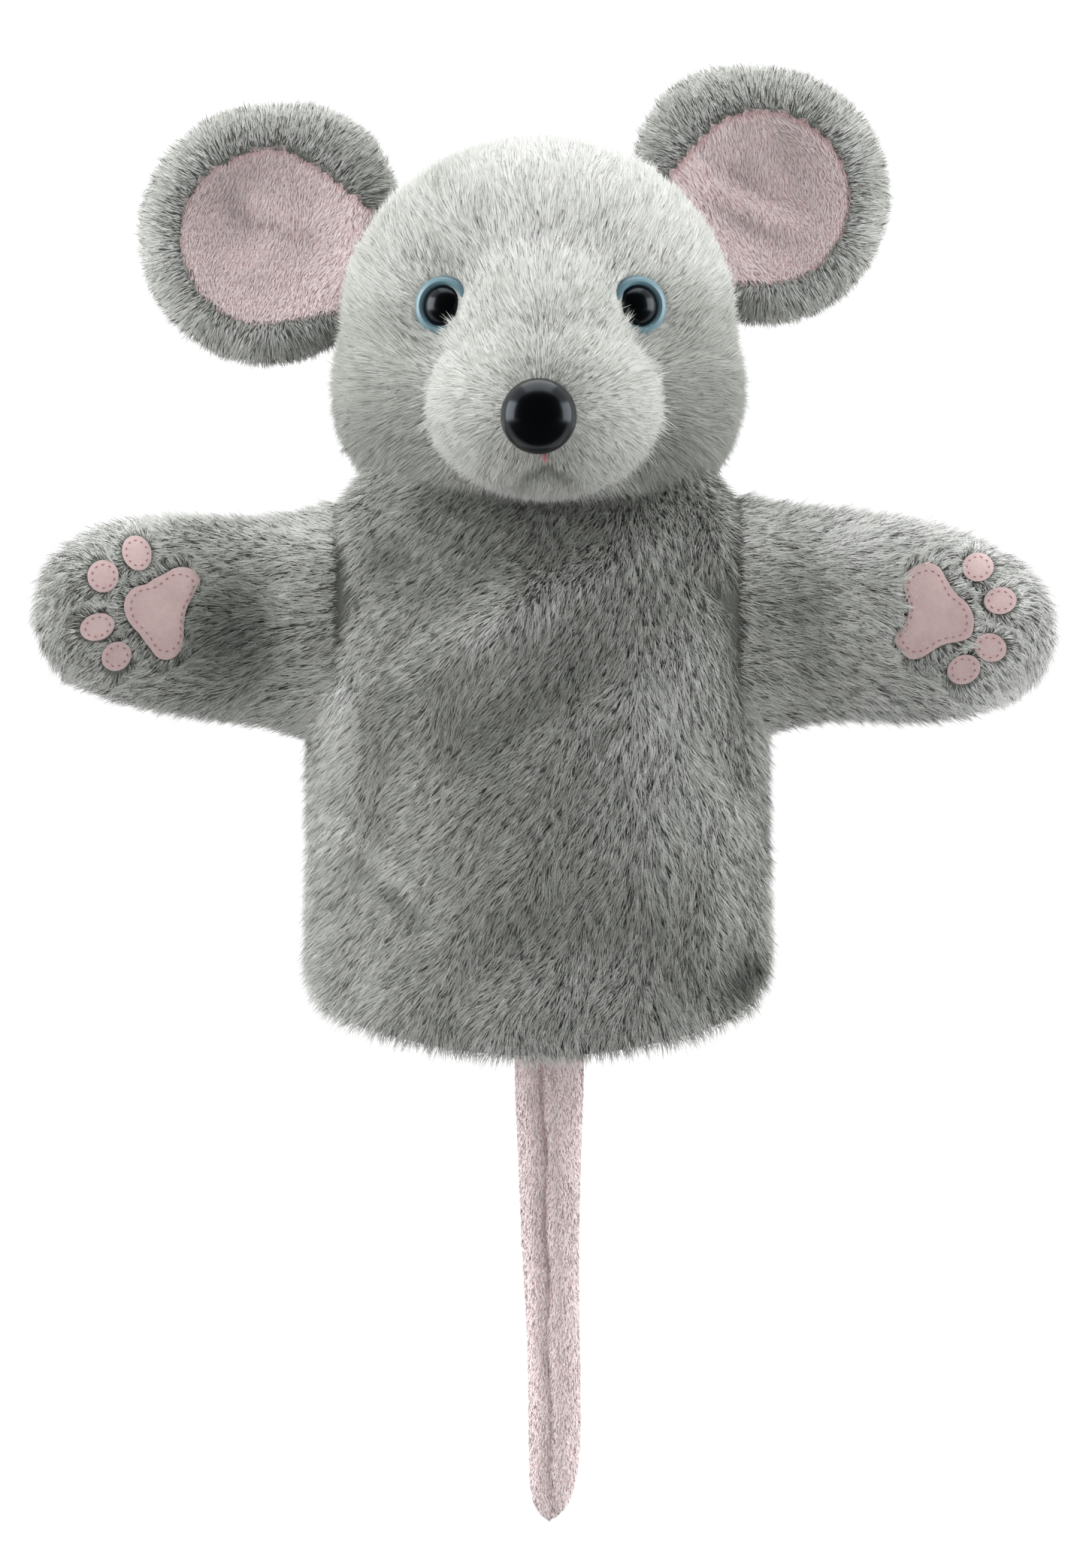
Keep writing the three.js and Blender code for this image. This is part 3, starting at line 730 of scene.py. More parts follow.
def closed_curve(points, count):
    """Even points along a smooth closed curve through a few."""
    p = np.array(points, float)
    t = np.linspace(0, 1, 24, endpoint=False)[:, None]
    a, b, c, d = (np.roll(p, shift, 0)[:, None] for shift in (1, 0, -1, -2))
    fine = 0.5 * (2 * b + (c - a) * t + (2 * a - 5 * b + 4 * c - d) * t**2 + (3 * b - a - 3 * c + d) * t**3)
    fine = fine.reshape(-1, 2)
    step = np.linalg.norm(np.roll(fine, -1, 0) - fine, axis=1)
    along = np.concatenate([[0], np.cumsum(step)])
    ring = np.vstack([fine, fine[:1]])
    goal = np.linspace(0, along[-1], count, endpoint=False)
    return np.stack([np.interp(goal, along, ring[:, i]) for i in (0, 1)], 1)


def toe_points(x, z, rx, rz, tilt):
    """Eight points round a toe, an ellipse that is tilted by some degrees."""
    c, s = math.cos(math.radians(tilt)), math.sin(math.radians(tilt))
    turn = np.arange(8) * math.pi / 4
    oval = [(rx * math.cos(a), rz * math.sin(a)) for a in turn]
    return [(x + a * c - b * s, z + a * s + b * c) for a, b in oval]


def pad_outlines(side):
    """The palm's outline and the four toes', each as even points on the puppet."""
    outlines = [PALM_OUTLINE[side]] + [toe_points(*toe) for toe in TOES[side]]
    flip = np.array([SIGN[side], 1])
    return [closed_curve(points, OUTLINE_POINTS) * flip for points in outlines]


def inside(outline, x, z):
    """True for the places that lie inside an outline."""
    found = np.zeros(len(x), bool)
    for (x0, z0), (x1, z1) in zip(outline, np.roll(outline, -1, 0)):
        crosses = (z0 > z) != (z1 > z)
        found ^= crosses & (x < (x1 - x0) * (z - z0) / (z1 - z0 + 1e-12) + x0)
    return found


# %% Arm coats, parted round the felt
def near_pads(side, p):
    """How near each root is to the felt, 0 to 1, and the way out from the nearest pad."""
    near, out = np.zeros(len(p)), np.zeros((len(p), 3))
    for outline in pad_outlines(side):
        off = p[:, None, [0, 2]] - outline[None, ::4]
        gap = np.linalg.norm(off, axis=2).min(1)
        weight = smooth_step(5, 1, gap) * (p[:, 1] < 0)
        away = p[:, [0, 2]] - outline.mean(0)
        near = np.maximum(near, weight)
        out[:, [0, 2]] += away / np.linalg.norm(away, axis=1, keepdims=True) * weight[:, None]
    return near, out


def under_felt(side, p):
    """True where felt covers the skin, less a narrow edge that the pile hangs over."""
    found = np.zeros(len(p), bool)
    for outline in pad_outlines(side):
        smaller = outline.mean(0) + (outline - outline.mean(0)) * 0.93
        found |= inside(smaller, p[:, 0], p[:, 2]) & (p[:, 1] < 0)
    return found


def arm_tone(p, up):
    """Mid grey, with painted light towards the paw and along its top, and painted shade where the sleeve is
    gathered at its root. The left arm's outer half is painted lighter and the right's darker.
    """
    out = np.abs(p[:, 0])
    # Painted shade where each arm meets the body, deeper on the right arm and mostly on the front, with a
    # small painted paler spot above it.
    root = 1.1 * spot(out - 71, p[:, 2] - 114, 7, 16)
    root += 1.6 * spot(p[:, 0] + 82, p[:, 2] - 115, 13, 13)
    root -= 0.7 * spot(p[:, 0] + 66, p[:, 2] - 127, 6, 7)
    root *= 0.3 + 0.7 * smooth_step(8, -8, p[:, 1])
    # Painted light along the top of the arm.
    top = 0.12 * smooth_step(126, 142, p[:, 2])
    # Painted light on the left arm's outer half, painted shade on the right's.
    side = np.where(p[:, 0] > 0, 0.1, -0.04) * smooth_step(64, 80, out)
    # Painted light towards the end of the paw.
    return 0.56 + 0.12 * smooth_step(90, 136, out) + top + side - 0.17 * root + 0.03 * waves(p, 24, 51)[0]


def paw_coat(side):
    """The body's coat, brushed out along the arm and away from the felt."""
    sign = SIGN[side]

    def comb(p, up):
        return comb_out(sign)(p, up) + near_pads(side, p)[1] * 1.6

    def length(p, up):
        return 5.4 - 2.2 * near_pads(side, p)[0]

    return {**body_coat, "comb": comb, "shade": arm_tone, "length": length}


def on_sleeve(p, up):
    """True from the shoulder to where a finger bends."""
    return (np.abs(p[:, 0]) < PAW_FROM) * (np.abs(p[:, 0]) > SLEEVE_FROM)


def on_paw(side):
    """True past where a finger bends, but for what the felt covers."""
    return lambda p, up: (np.abs(p[:, 0]) >= PAW_FROM) * ~under_felt(side, p)


arm_pile = {}
for side, sign in SIGN.items():
    coat = {**body_coat, "comb": comb_out(sign), "shade": arm_tone}
    arm_pile[side, "root"] = grow_pile(f"{side}_arm_pile", arm_skin[side], coat, 120, on_sleeve)
    arm_pile[side, "paw"] = grow_pile(f"{side}_paw_pile", arm_skin[side], paw_coat(side), 130, on_paw(side))

# %% [markdown]
# ### Wool felt
# Felt is matted fibre with no weave: a soft, level pink with short hairs about 0.4 mm apart lying every
# way, so it gets a fine noise for its colour and its bump, and a little sheen.


# %% Felt and thread
def matted(name, dark, pale, hair_mm):
    """Felt: two scales of mottling and a fine matted bump."""
    material, tree, shader = new_material(name, 0.92, Sheen_Weight=0.4, Sheen_Roughness=0.6)
    place = node(tree, "ShaderNodeTexCoord").outputs["Object"]
    scale = 1000 / hair_mm / 2
    fine = node(tree, "ShaderNodeTexNoise", {"Vector": place}, Scale=scale, Detail=5.0, Roughness=0.7)
    broad = node(tree, "ShaderNodeTexNoise", {"Vector": place}, Scale=120.0, Detail=2.0)
    both = node(tree, "ShaderNodeMath", operation="ADD")
    tree.links.new(fine.outputs["Fac"], both.inputs[0])
    tree.links.new(broad.outputs["Fac"], both.inputs[1])
    half = node(tree, "ShaderNodeMath", operation="MULTIPLY")
    tree.links.new(both.outputs[0], half.inputs[0])
    half.inputs[1].default_value = 0.5
    ends = {"A": linear(dark), "B": linear(pale)}
    colour = node(tree, "ShaderNodeMix", {"Factor": half.outputs[0]}, data_type="RGBA", **ends)
    tree.links.new(colour.outputs["Result"], shader.inputs["Base Color"])
    bump = node(tree, "ShaderNodeBump", {"Height": fine.outputs["Fac"]}, Strength=0.35, Distance=0.0003)
    tree.links.new(bump.outputs["Normal"], shader.inputs["Normal"])
    return material


pink_felt = matted("wool_felt_pink", "#a08483", "#dcc4c2", 0.7)
pink_thread = matted("spun_polyester_thread_rose", "#8e5358", "#b67a7e", 0.2)


# %% Cut and lay the felt
def skin_depth(skin, x, z):
    """The y of a skin's front at a place, in mm."""
    hit, place, _, _ = skin.ray_cast((x / 1000, -0.2, z / 1000), (0, 1, 0))
    return place[1] * 1000 if hit else -8.0


def lay_on(o, skin, lift):
    """Bends a flat piece drawn at y = 0 over the front of a skin."""

    def laid(p):
        p[:, 1] += np.array([skin_depth(skin, x, z) for x, _, z in p]) - lift
        return p

    reshape(o, laid)


def felt_pad(name, outline, skin):
    """One pad: ring, grid, thickness, soft edge, then laid on the skin."""
    clear_selection()
    bpy.ops.mesh.primitive_circle_add(vertices=OUTLINE_POINTS, radius=0.005, rotation=(math.pi / 2, 0, 0))
    o = name_it(name)
    bpy.ops.object.transform_apply()
    reshape(o, lambda p: np.stack([outline[:, 0], 0 * outline[:, 0], outline[:, 1]], 1))
    open_all(o)
    bpy.ops.mesh.fill_grid(span=12)
    bpy.ops.mesh.select_all(action="SELECT")
    bpy.ops.mesh.extrude_region_move(TRANSFORM_OT_translate={"value": (0, -FELT_THICK / 1000, 0)})
    bpy.ops.mesh.select_all(action="SELECT")
    bpy.ops.mesh.normals_make_consistent(inside=False)
    bpy.ops.object.mode_set(mode="OBJECT")
    finish_with(o, "BEVEL", width=0.00045, segments=3, limit_method="ANGLE", angle_limit=0.9)
    lay_on(o, skin, 0.5)
    choose(o)
    bpy.ops.object.shade_smooth_by_angle(angle=0.8)
    o.data.materials.append(pink_felt)
    return o


# %% Running stitch
def running_stitch(name, outline, skin, inset, pitch, lift):
    """Short thread dashes along a line just inside an outline, as one piece."""
    middle = outline.mean(0)
    spread = np.linalg.norm(outline - middle, axis=1).mean()
    line = middle + (outline - middle) * (1 - inset / spread)
    round_it = np.linalg.norm(np.roll(line, -1, 0) - line, axis=1).sum()
    count = max(6, round(round_it / pitch))
    fine = closed_curve(line, count * 6)
    dashes = []
    for i in range(count):
        run = fine[np.arange(i * 6, i * 6 + 4) % len(fine)]
        (x, z), (dx, dz) = run.mean(0), run[-1] - run[0]
        clear_selection()
        bpy.ops.mesh.primitive_uv_sphere_add(segments=8, ring_count=6, radius=0.0002)
        dash = name_it(name)
        dash.scale = (math.hypot(dx, dz) / 2 / 0.2, 0.9, 0.9)
        dash.rotation_euler = (0, -math.atan2(dz, dx), 0)
        dash.location = (x / 1000, (skin_depth(skin, x, z) - lift) / 1000, z / 1000)
        dashes.append(dash)
    choose(*dashes)
    bpy.ops.object.transform_apply()
    bpy.ops.object.join()
    o = name_it(name)
    bpy.ops.object.shade_smooth()
    o.data.materials.append(pink_thread)
    return o


pads = {}
for side in SIGN:
    for number, outline in enumerate(pad_outlines(side)):
        label = f"{side}_palm" if number == 0 else f"{side}_toe_{number}"
        inset = 1.7 if number == 0 else 1.2
        pad = felt_pad(f"{label}_felt", outline, arm_skin[side])
        stitch = running_stitch(f"{label}_stitch", outline, arm_skin[side], inset, 1.9, 1.95)
        pads[side, number] = (pad, stitch)
print("felt pads:", len(pads))

# %% [markdown]
# ## The face coat
# Paler and shorter plush. It thins out round the eyes and the nose, where a maker trims it.

# %% Head coats
EYES = {"right": (-24.2, 198.4), "left": (25.6, 198.4)}


def clear_of_features(p):
    """0 where an eye or the nose covers the cloth, 1 elsewhere."""
    free = np.ones(len(p))
    for x, z in EYES.values():
        free *= 1 - (np.hypot(p[:, 0] - x, p[:, 2] - z) < 7.2) * (p[:, 1] < -20)
    return free * (np.linalg.norm(p - NOSE_TIP, axis=1) > 9)


def on_muzzle(p):
    """True on the muzzle and the bridge of the nose."""
    low = (p - np.array([1.5, -37, 171.5])) / np.array([29, 40, 23])
    width = 27 * (1 - 0.24 * smooth_step(180, 204, p[:, 2]))
    high = np.stack([(p[:, 0] - 1) / width, (p[:, 1] + 24) / 35, (p[:, 2] - 181) / 28], 1)
    edge = 1.02 + 0.12 * waves(p, 6, 35)[0]
    return ((low**2).sum(1) < edge) | ((high**2).sum(1) < edge) & (p[:, 1] < -38)


def face_length(p, up):
    """5 mm, less by the eyes and the nose."""
    near_eye = np.min([np.hypot(p[:, 0] - x, p[:, 2] - z) for x, z in EYES.values()], axis=0)
    near_nose = np.linalg.norm(p - NOSE_TIP, axis=1)
    trim = np.minimum(smooth_step(5, 17, near_eye) + (p[:, 1] > -20), smooth_step(6, 22, near_nose))
    return 5.6 * (0.55 + 0.45 * np.clip(trim, 0, 1))


def beside_eyes(p):
    """1 on the strip of the bridge that is next to an eye, fading to 0."""
    return spot(np.abs(p[:, 0]) - 15, p[:, 2] - 197, 4, 9) * (p[:, 1] < -36)


def muzzle_length(p, up):
    """5 mm, cropped round the nose, and left long beside the eyes, which it half hides."""
    cropped = smooth_step(6, 22, np.linalg.norm(p - NOSE_TIP, axis=1))
    return 5.0 * (0.5 + 0.5 * cropped) * (1 - 0.6 * mouth_crease(p)) + 1.5 * beside_eyes(p)


def mouth_crease(p):
    """1 in the crease that the mouth's stitch pulls, which goes down to both sides of it."""
    line = 156.6 - 0.42 * np.abs(p[:, 0] - 2.2)
    return spot(p[:, 0] - 2.2, p[:, 2] - line, 6, 1.4) * (p[:, 1] < -40)


def muzzle_tone(p, up):
    """Pale on top, with painted shade under the nose and in the mouth's crease."""
    # Painted shade under the nose.
    under = 0.07 * smooth_step(168, 152, p[:, 2])
    # Painted shade in the mouth's crease.
    return forehead_tone(p) - under - 0.4 * mouth_crease(p) + 0.02 * waves(p, 8, 33)[0]


def forehead_tone(p):
    """Paler from the brow up towards the crown, as painted light from above, and level over the muzzle."""
    return 0.71 + 0.09 * smooth_step(194, 210, p[:, 2])


def face_tone(p, up):
    """Pale grey on the crown, with painted shade down the cheeks, towards the neck, over the right brow and
    low on the left cheek.
    """
    cheek = smooth_step(18, 34, np.abs(p[:, 0]))
    # Painted shade down the cheeks and towards the neck.
    down = 0.15 * smooth_step(214, 188, p[:, 2]) * cheek + 0.1 * smooth_step(186, 164, p[:, 2])
    ahead = smooth_step(6, -14, p[:, 1])
    brow = smooth_step(200, 212, p[:, 2]) * smooth_step(8, 26, np.abs(p[:, 0])) * (p[:, 0] < 0)
    # Painted shade over the right brow.
    down += ahead * (0.12 * brow - 0.01 * cheek * (p[:, 0] < 0))
    # Painted shade low on the left cheek.
    down += ahead * 0.05 * smooth_step(192, 180, p[:, 2]) * (p[:, 0] > 12)
    return forehead_tone(p) - down + 0.02 * waves(p, 26, 31)[0] + 0.02 * waves(p, 8, 32)[0]


face_coat = {
    **body_coat, "per_mm2": 6.5, "length": face_length, "lean": 1.1, "messy": 0.16, "gather": 0.12,
    "tuft": 3.2, "silver": 0.2, "width": 0.17, "comb": comb_face, "shade": face_tone,
}


def on_face(sign):
    """One half of the head's front, less the muzzle."""
    return lambda p, up: (
        clear_of_features(p) * (p[:, 1] < 8) * ~on_muzzle(p) * (p[:, 2] > 151) * (p[:, 0] * sign >= 0)
    )


face_pile = {
    side: grow_pile(f"face_pile_{side}", head_skin, face_coat, 140, on_face(sign))
    for side, sign in SIGN.items()
}
back_coat = {**face_coat, "messy": 0.22, "gather": 0.2, "silver": 0.6, "tuft": 5}
head_back_pile = grow_pile(
    "head_back_pile", head_skin, back_coat, 150, lambda p, up: 0.55 * (p[:, 1] >= 8) * (p[:, 2] > 146)
)
muzzle_coat = {**face_coat, "length": muzzle_length, "shade": muzzle_tone, "messy": 0.2}
muzzle_coat["lean"] = lambda p, up: 1.2 - 0.8 * beside_eyes(p)
muzzle_pile = grow_pile(
    "muzzle_pile", head_skin, muzzle_coat, 160, lambda p, up: clear_of_features(p) * on_muzzle(p)
)


# %% Ear coats
def ear_coats(side):
    """Grey plush on the back and over the rim, pink velour in the dish."""
    x, y, z, rx, rz = EARS[side]

    def outwards(p, up):
        return np.stack([p[:, 0] - x, (p[:, 1] - y) * 0.3 + 2, p[:, 2] - z], 1)

    def grey(p, up):
        return (pink_share(side, p) > 1) | (up[:, 1] > 0.2)

    def pink(p, up):
        return (pink_share(side, p) < 1.03) & (up[:, 1] < 0)

    def plush_length(p, up):
        """Cropped where it meets the pink."""
        return 3.6 - 1.4 * smooth_step(1.16, 1.0, pink_share(side, p)) * (up[:, 1] < 0.2)

    def plush_tone(p, up):
        """Level grey with painted light where it turns in towards the pink, and dark in the seam itself."""
        share, front = pink_share(side, p), up[:, 1] < 0.2
        # Painted light on the inner turn of the rim.
        inner, seam = smooth_step(1.35, 1.08, share) * front, smooth_step(1.05, 1.0, share) * front
        return 0.7 + 0.03 * waves(p, 20, 41)[0] + 0.1 * inner - 0.3 * seam

    plush = {**body_coat, "per_mm2": 5.7, "length": plush_length, "lean": 1.35, "comb": outwards}
    plush.update({"gather": 0.05, "silver": 0.2, "messy": 0.16, "shade": plush_tone, "sheen_up": 0.25})
    velour = {**plush, "per_mm2": 7, "length": lambda p, up: np.full(len(p), 1.9), "lean": 1.9, "width": 0.2}
    # Painted shade: the left ear's pink is set darker than the right's, for how the light falls on it.
    pale = 1.0 if side == "right" else 0.78
    velour["shade"] = lambda p, up: pale - 0.55 * smooth_step(0.97, 1.02, pink_share(side, p))
    velour["sheen_up"] = 1.1 if side == "right" else 0.5
    velour["dyes"] = pink_pile
    velour["comb"] = lambda p, up: np.tile([0.3 * SIGN[side], 0, -1], (len(p), 1))
    return (
        grow_pile(f"{side}_ear_pile", ear_skins[side], plush, 170, grey),
        grow_pile(f"{side}_ear_velour", ear_skins[side], velour, 180, pink),
    )


ear_piles = {side: ear_coats(side) for side in EARS}

# %% Tail coat
def on_tail_seam(p):
    """1 along the seam on the tail's front, fading to 0 within a millimetre."""
    return np.exp(-(((p[:, 0] - tail_seam_x(p[:, 2])) / 0.6) ** 2)) * (p[:, 1] < 24)


tail_coat = {
    **body_coat, "per_mm2": 7, "length": lambda p, up: np.full(len(p), 1.3), "lean": 1.9, "width": 0.3,
    "tuft": 3.0, "gather": 0.1, "messy": 0.12, "silver": 0.4, "sheen_up": 0.5,
    "comb": lambda p, up: np.tile([0.0, 0, -1], (len(p), 1)), "dyes": pink_pile,
    "shade": lambda p, up: 0.84 + 0.12 * smooth_step(-50, -95, p[:, 2]) - 0.4 * on_tail_seam(p),
}
tail_piles = [
    grow_pile("tail_pile_upper", tail_skin, tail_coat, 190, lambda p, up: p[:, 2] >= -25),
    grow_pile("tail_pile_lower", tail_skin, tail_coat, 191, lambda p, up: p[:, 2] < -25),
]

# %% [markdown]
# ## Eyes and nose
# Stock plastic toy parts: a moulded ring and a black dome for each eye, and a polished black nose.


# %% Moulded plastics
def plastic(name, code, roughness):
    """Moulded ABS with a faint unevenness in its colour."""
    material, tree, shader = new_material(name, roughness, IOR=1.53)
    place = node(tree, "ShaderNodeTexCoord").outputs["Object"]
    flow = node(tree, "ShaderNodeTexNoise", {"Vector": place}, Scale=160.0, Detail=2.0)
    dull, bright = [(*[min(1, c * share) for c in linear(code)[:3]], 1) for share in (0.9, 1.1)]
    colour = node(
        tree, "ShaderNodeMix", {"Factor": flow.outputs["Fac"]}, data_type="RGBA", A=dull, B=bright
    )
    tree.links.new(colour.outputs["Result"], shader.inputs["Base Color"])
    return material


teal_plastic = plastic("moulded_abs_teal", "#6f909c", 0.3)
black_plastic = plastic("polished_abs_black", "#050608", 0.2)
black_shine = black_plastic.node_tree.nodes["Principled BSDF"]
black_shine.inputs["Specular IOR Level"].default_value = 0.3
black_shine.inputs["Specular Tint"].default_value = (0.8, 0.9, 1.0, 1)
nylon = plastic("moulded_nylon_clear", "#d9d9d4", 0.45)
cotton = knit("woven_cotton_lining", "#a9aaa6", "#c4c5c1", 0.5)


# %% Eye and nose
def turned(name, outline, place, turn, material):
    """Spins an outline of (radius, height) round its axis. Height points at the viewer."""
    clear_selection()
    mesh = bpy.data.meshes.new(name)
    edges = [(i, i + 1) for i in range(len(outline) - 1)]
    mesh.from_pydata([(r / 1000, 0, h / 1000) for r, h in outline], edges, [])
    o = bpy.data.objects.new(name, mesh)
    bpy.context.scene.collection.objects.link(o)
    open_all(o)
    bpy.ops.mesh.spin(steps=64, angle=2 * math.pi, center=(0, 0, 0), axis=(0, 0, 1))
    bpy.ops.mesh.select_all(action="SELECT")
    bpy.ops.mesh.remove_doubles(threshold=0.00002)
    bpy.ops.mesh.normals_make_consistent(inside=False)
    bpy.ops.object.mode_set(mode="OBJECT")
    bpy.ops.object.shade_smooth_by_angle(angle=0.7)
    o.rotation_euler = turn
    o.location = [v / 1000 for v in place]
    bpy.ops.object.transform_apply()
    o.data.materials.append(material)
    return o


def dome(radius, height, base, steps=14):
    """An outline from a flat back over a soft dome to the axis."""
    arc = [(radius * math.cos(a), height * math.sin(a)) for a in np.linspace(0, math.pi / 2, steps)[:-1]]
    return [(0, base), (radius, base), *arc, (0, height)]


def wear(piece, node_name):
    """Puts a hard piece of the face on the head, in the place of its CAD node."""
    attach(piece, "head")
    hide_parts(node_name)


RING = [(5.2, 0.6), (5.6, 1.9), (6.2, 2.3), (7.0, 2.1), (7.7, 1.3), (7.9, 0.2)]
RING += [(7.7, -1.0), (5.2, -1.0), (5.2, 0.6)]
EYE_TURN = math.radians(21)
for side, sign in SIGN.items():
    turn = (math.pi / 2, 0, sign * EYE_TURN)
    low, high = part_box(f"{side}_eye_ring")
    middle = (low + high) / 2 * 1000
    seat = (EYES[side][0], middle[1] + 3.6, EYES[side][1])
    ring_piece = turned(f"{side}_eye_iris", RING, seat, turn, teal_plastic)
    pupil_piece = turned(f"{side}_eye_dome", dome(5.5, 4.0, -1.2), seat, turn, black_plastic)
    wear(ring_piece, f"{side}_eye_ring")
    wear(pupil_piece, f"{side}_eye_pupil")
    print(side, "eye at", [round(v, 1) for v in seat])

clear_selection()
bpy.ops.mesh.primitive_uv_sphere_add(segments=16, ring_count=10, radius=0.001)
mouth = name_it("mouth_thread")
mouth.scale = (0.7, 0.7, 2.0)
mouth.rotation_euler = (math.radians(-38), 0, 0)
mouth.location = (0.0018, (skin_depth(head_skin, 1.8, 157.4) - 3.0) / 1000, 0.1572)
bpy.ops.object.transform_apply()
bpy.ops.object.shade_smooth()
mouth.data.materials.append(pink_thread)
wear(mouth, "mouth_stitch")

low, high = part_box("nose_button")
nose_arc = [(9.6 * math.cos(a), 7.6 * math.sin(a)) for a in np.linspace(0.05, 1.45, 14)]
nose_outline = [(0, -1.5), (7.5, -1.5), (9.3, -0.4), *nose_arc, (0, 7.6)]
nose_piece = turned("nose_dome", nose_outline, (0.2, -70.6, 166.8), (math.pi / 2, 0, 0), black_plastic)
wear(nose_piece, "nose_button")
print("nose box", [round(v * 1000, 1) for v in low], [round(v * 1000, 1) for v in high])

# %% [markdown]
# ## Backings and bodies
# The glove, its lining, its facing and the arms get a wall and their cloth, the head and the tail their
# cloth, and each piece's place is baked into its mesh.
# The facing rides on the glove.


# %% Walls and rides
def wall(o, material, thick=0.7):
    """Gives a skin its thickness, inwards, and its cloth."""
    o.data.materials.clear()
    o.data.materials.append(material)
    finish_with(o, "SOLIDIFY", thickness=thick / 1000, offset=-1.0)
    return o


def both_sides(pieces, a, b, start, end, slot):
    """Bakes each piece's place into its mesh. The two bodies, the points and the slot are not used."""
    for piece in pieces:
        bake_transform(piece)


def copy_of(o, name):
    """A copy of a piece with its own mesh."""
    choose(o)
    bpy.ops.object.duplicate()
    return name_it(name)


def cut_off(piece, point, normal, clear):
    """Cuts a piece at a plane through a point in mm, and clears one side of it."""
    open_all(piece)
    bpy.ops.mesh.bisect(plane_co=[v / 1000 for v in point], plane_no=normal, **{clear: True})
    bpy.ops.object.mode_set(mode="OBJECT")


def split_at(o, name, point, normal):
    """Cuts a skin in two at a plane. The far part is the new piece."""
    far = copy_of(o, name)
    cut_off(o, point, normal, "clear_outer")
    cut_off(far, point, normal, "clear_inner")
    return far


lining = copy_of(body_skin, "hand_lining_cotton")
facing = copy_of(body_skin, "hem_facing_turned_in")


def set_in(by):
    """A rule that shrinks the glove's tube all round by some mm."""
    return lambda p: p * np.array([1 - by / 58, 1 - by / 27, 1])


reshape(lining, set_in(2.2))
reshape(facing, set_in(1.2))
LINING_FROM, FACING_TO = 22, 24
cut_off(lining, (0, 0, LINING_FROM), (0, 0, 1), "clear_inner")
cut_off(facing, (0, 0, FACING_TO), (0, 0, 1), "clear_outer")
wall(lining, cotton, 0.5)
wall(facing, grey_backing, 0.6)
wall(body_skin, grey_backing)
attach(facing, "glove")
GATHER = ("glove", "neck", (0, 0, 122), (0, 0, 160))
both_sides([lining], *GATHER, "cotton")
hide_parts("hand_lining")
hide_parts("hem_facing")
both_sides([body_skin, *body_pile.values()], *GATHER, "body_fur")
for (side, part), piece in body_pile.items():
    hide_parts(f"{part}_panel")
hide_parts("neck_band")

head_skin.data.materials.append(pale_backing)
head_pieces = [head_skin, *face_pile.values(), head_back_pile, muzzle_pile]
both_sides(head_pieces, "neck", "head", (0, 4, 150), (0, -8, 180), "head_fur")
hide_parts("head_stuffing", "muzzle_stuffing")
for piece in face_pile.values():
    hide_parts("face_panel")
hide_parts("head_back_panel")
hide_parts("muzzle_panel")

# %% Arms, ears and tail
for side, sign in SIGN.items():
    arm = wall(arm_skin[side], grey_backing)
    paw = split_at(arm, f"{side}_paw_backing", (sign * PAW_FROM, 0, 0), (sign, 0, 0))
    shoulder = ("glove", f"{side}_arm", (sign * SLEEVE_FROM, 0, 0), (sign * 68, 0, 0))
    finger = (f"{side}_arm", f"{side}_paw", (sign * PAW_FROM, 0, 0), (sign * 90, 0, 0))
    both_sides([arm, arm_pile[side, "root"]], *shoulder, "body_fur")
    both_sides([paw, arm_pile[side, "paw"]], *finger, "body_fur")
    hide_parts(f"{side}_arm_cover")
    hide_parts(f"{side}_paw_cover")
    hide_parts(f"{side}_arm_lining")
    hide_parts(f"{side}_paw_lining")
    for number in range(5):
        pad, stitch = pads[side, number]
        both_sides([pad], *finger, "pink_felt")
        both_sides([stitch], *finger, "stitch_thread")
        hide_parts(f"{side}_palm_pad" if number == 0 else f"{side}_toe_pad_{number}")
    ear = ear_skins[side]
    x, y, z, _, _ = EARS[side]
    towards = np.array([x, 0, z - 200.0])
    towards /= np.linalg.norm(towards)
    start, end = np.array([0, 0, 200]) + towards * 50, np.array([0, 0, 200]) + towards * 66
    both_sides([ear, ear_piles[side][0]], "head", f"{side}_ear", start, end, "ear_fur")
    both_sides([ear_piles[side][1]], "head", f"{side}_ear", start, end, "pink_velour")
    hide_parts(f"{side}_ear_back")
    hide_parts(f"{side}_ear_lining")

tail_skin.data.materials.append(pink_ground)
tail_low = split_at(tail_skin, "tail_velour_lower", (0, 0, -25), (0, 0, -1))
both_sides([tail_skin, tail_piles[0]], "glove", "tail_root", (3, 24, 2), (3, 24, -12), "pink_velour")
both_sides([tail_low, tail_piles[1]], "tail_root", "tail_end", (3, 24, -40), (3, 24, -65), "pink_velour")
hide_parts("tail_upper")
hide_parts("tail_lower")

# %% [markdown]
# ## What is soft
# The glove and its linings are cloth, sewn into a tube: the flat size is once round the tube by its
# height. The felt is cloth laid on the arms. The head, the arms, the ears and the tail hold stuffing, full
# in the head and very little in the rest. Here the tubes and the palms are only measured.


def tube_of_cloth(o):
    """Measures how far a tube of cloth spreads; nothing more is done with it."""
    spread = points_of(o).max(0) - points_of(o).min(0)


tube_of_cloth(body_skin)
tube_of_cloth(lining)
tube_of_cloth(facing)
for side in SIGN:
    palm, stitch = pads[side, 0]
    spread = (points_of(palm).max(0) - points_of(palm).min(0)) / 1000

# %% Carried-over CAD parts
NODE_FINISH = {"tail_tab": pink_ground, "head_finger_pocket": cotton, "nose_washer": nylon}
NODE_FINISH.update({f"{side}_eye_washer": nylon for side in SIGN})
for name, finish in NODE_FINISH.items():
    for material_slot in frame["nodes"][name].material_slots:
        material_slot.material = finish
print(len(NODE_FINISH), "CAD parts keep their shape")

# %% [markdown]
# ## Floor and light
# A white tent: light comes softly from above and both sides, and the open front of the tent is dark.
# That is what gives a plush toy its bright rim and its deep, soft middle.


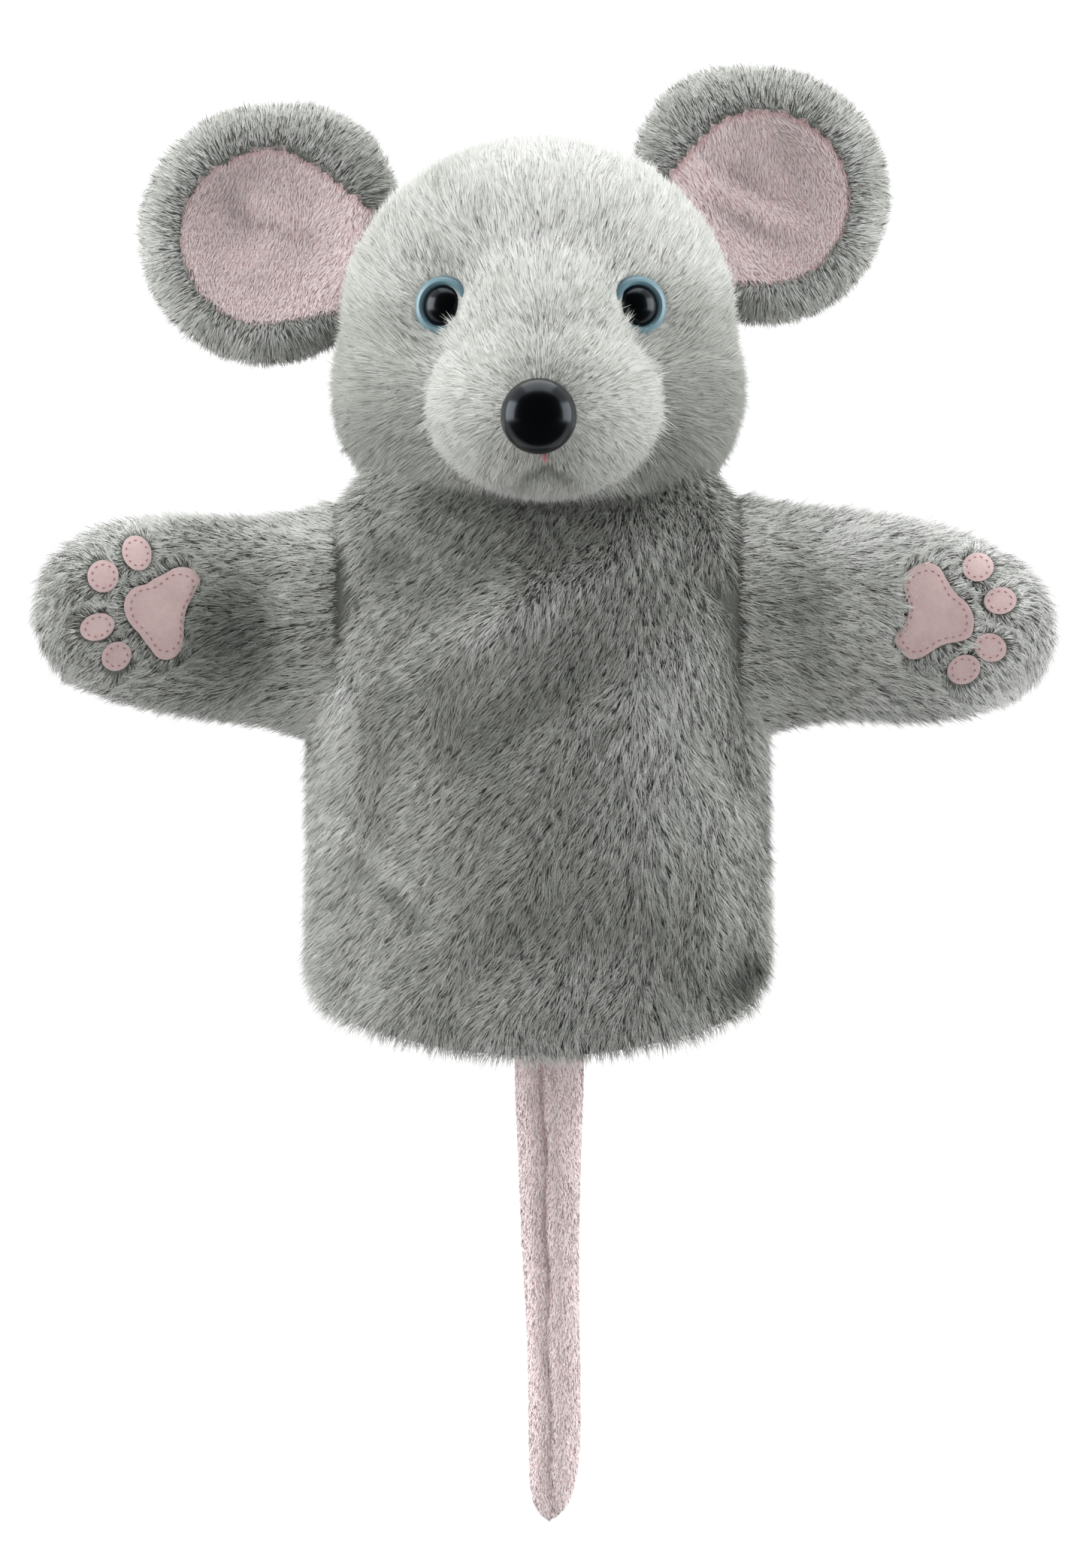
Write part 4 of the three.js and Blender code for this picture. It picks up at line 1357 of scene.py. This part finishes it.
# %% Floor and white room
floor_material, _, floor_shader = new_material("lit_white_table", 1.0, Emission_Strength=1.0)
floor_shader.inputs["Base Color"].default_value = linear("#000000")
floor_shader.inputs["Emission Color"].default_value = linear("#ffffff")
clear_selection()
bpy.ops.mesh.primitive_plane_add(size=40, location=(0, 0, -0.131))
floor = name_it("floor")
floor.data.materials.append(floor_material)
floor.visible_diffuse = False

world = bpy.data.worlds.new("white_tent")
world.use_nodes = True
bpy.context.scene.world = world
world.node_tree.nodes["Background"].inputs["Color"].default_value = (1, 1, 1, 1)
world.node_tree.nodes["Background"].inputs["Strength"].default_value = 1.08
bpy.context.scene.view_settings.view_transform = "Standard"


def soft_light(name, place, aim, size, watts):
    """A square soft light, aimed at a point."""
    data = bpy.data.lights.new(name, "AREA")
    data.size = size
    data.energy = watts
    lamp = bpy.data.objects.new(name, data)
    lamp.location = place
    back = (np.array(place) - np.array(aim)).tolist()
    lamp.rotation_euler = Vector(back).to_track_quat("Z", "Y").to_euler()
    bpy.context.scene.collection.objects.link(lamp)
    return lamp


soft_light("top_light", (0, 0.1, 1.3), (0, 0, 0.15), 1.2, 9)
soft_light("left_light", (-1.3, -0.15, 0.45), (0, 0, 0.1), 0.9, 13)
soft_light("right_light", (1.3, -0.15, 0.4), (0, 0, 0.1), 0.9, 10)


def card(name, size, place, turn, code):
    """A cloth card that takes light away and isn't seen itself."""
    clear_selection()
    bpy.ops.mesh.primitive_plane_add(size=size, location=place, rotation=turn)
    o = name_it(name)
    material, _, shader = new_material(f"{name}_cloth", 1.0)
    shader.inputs["Base Color"].default_value = linear(code)
    o.data.materials.append(material)
    o.visible_camera = False
    return o


card("dark_front_opening", 1.7, (0, -1.3, 0.2), (math.pi / 2, 0, 0), "#0a0a0a")
for label, size, place, turn in (
    ("dark_room_behind", 6, (0, -1.5, 0.2), (math.pi / 2, 0, 0)),
    ("dark_room_floor", 3, (0, -1.56, -0.128), (0, 0, 0)),
):
    mirrored = card(label, size, place, turn, "#050505")
    mirrored.visible_diffuse = False
    mirrored.visible_shadow = False
card("grey_table_card", 40, (0, 0, -0.14), (0, 0, 0), "#dcdcdc")

# %% Write the sizes and finish
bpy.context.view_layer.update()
meshes = [o for o in bpy.data.objects if o.type == "MESH"]
triangles = sorted((sum(len(f.vertices) - 2 for f in o.data.polygons), o.name) for o in meshes)
print("triangles in all:", sum(count for count, _ in triangles), "largest:", triangles[-4:])
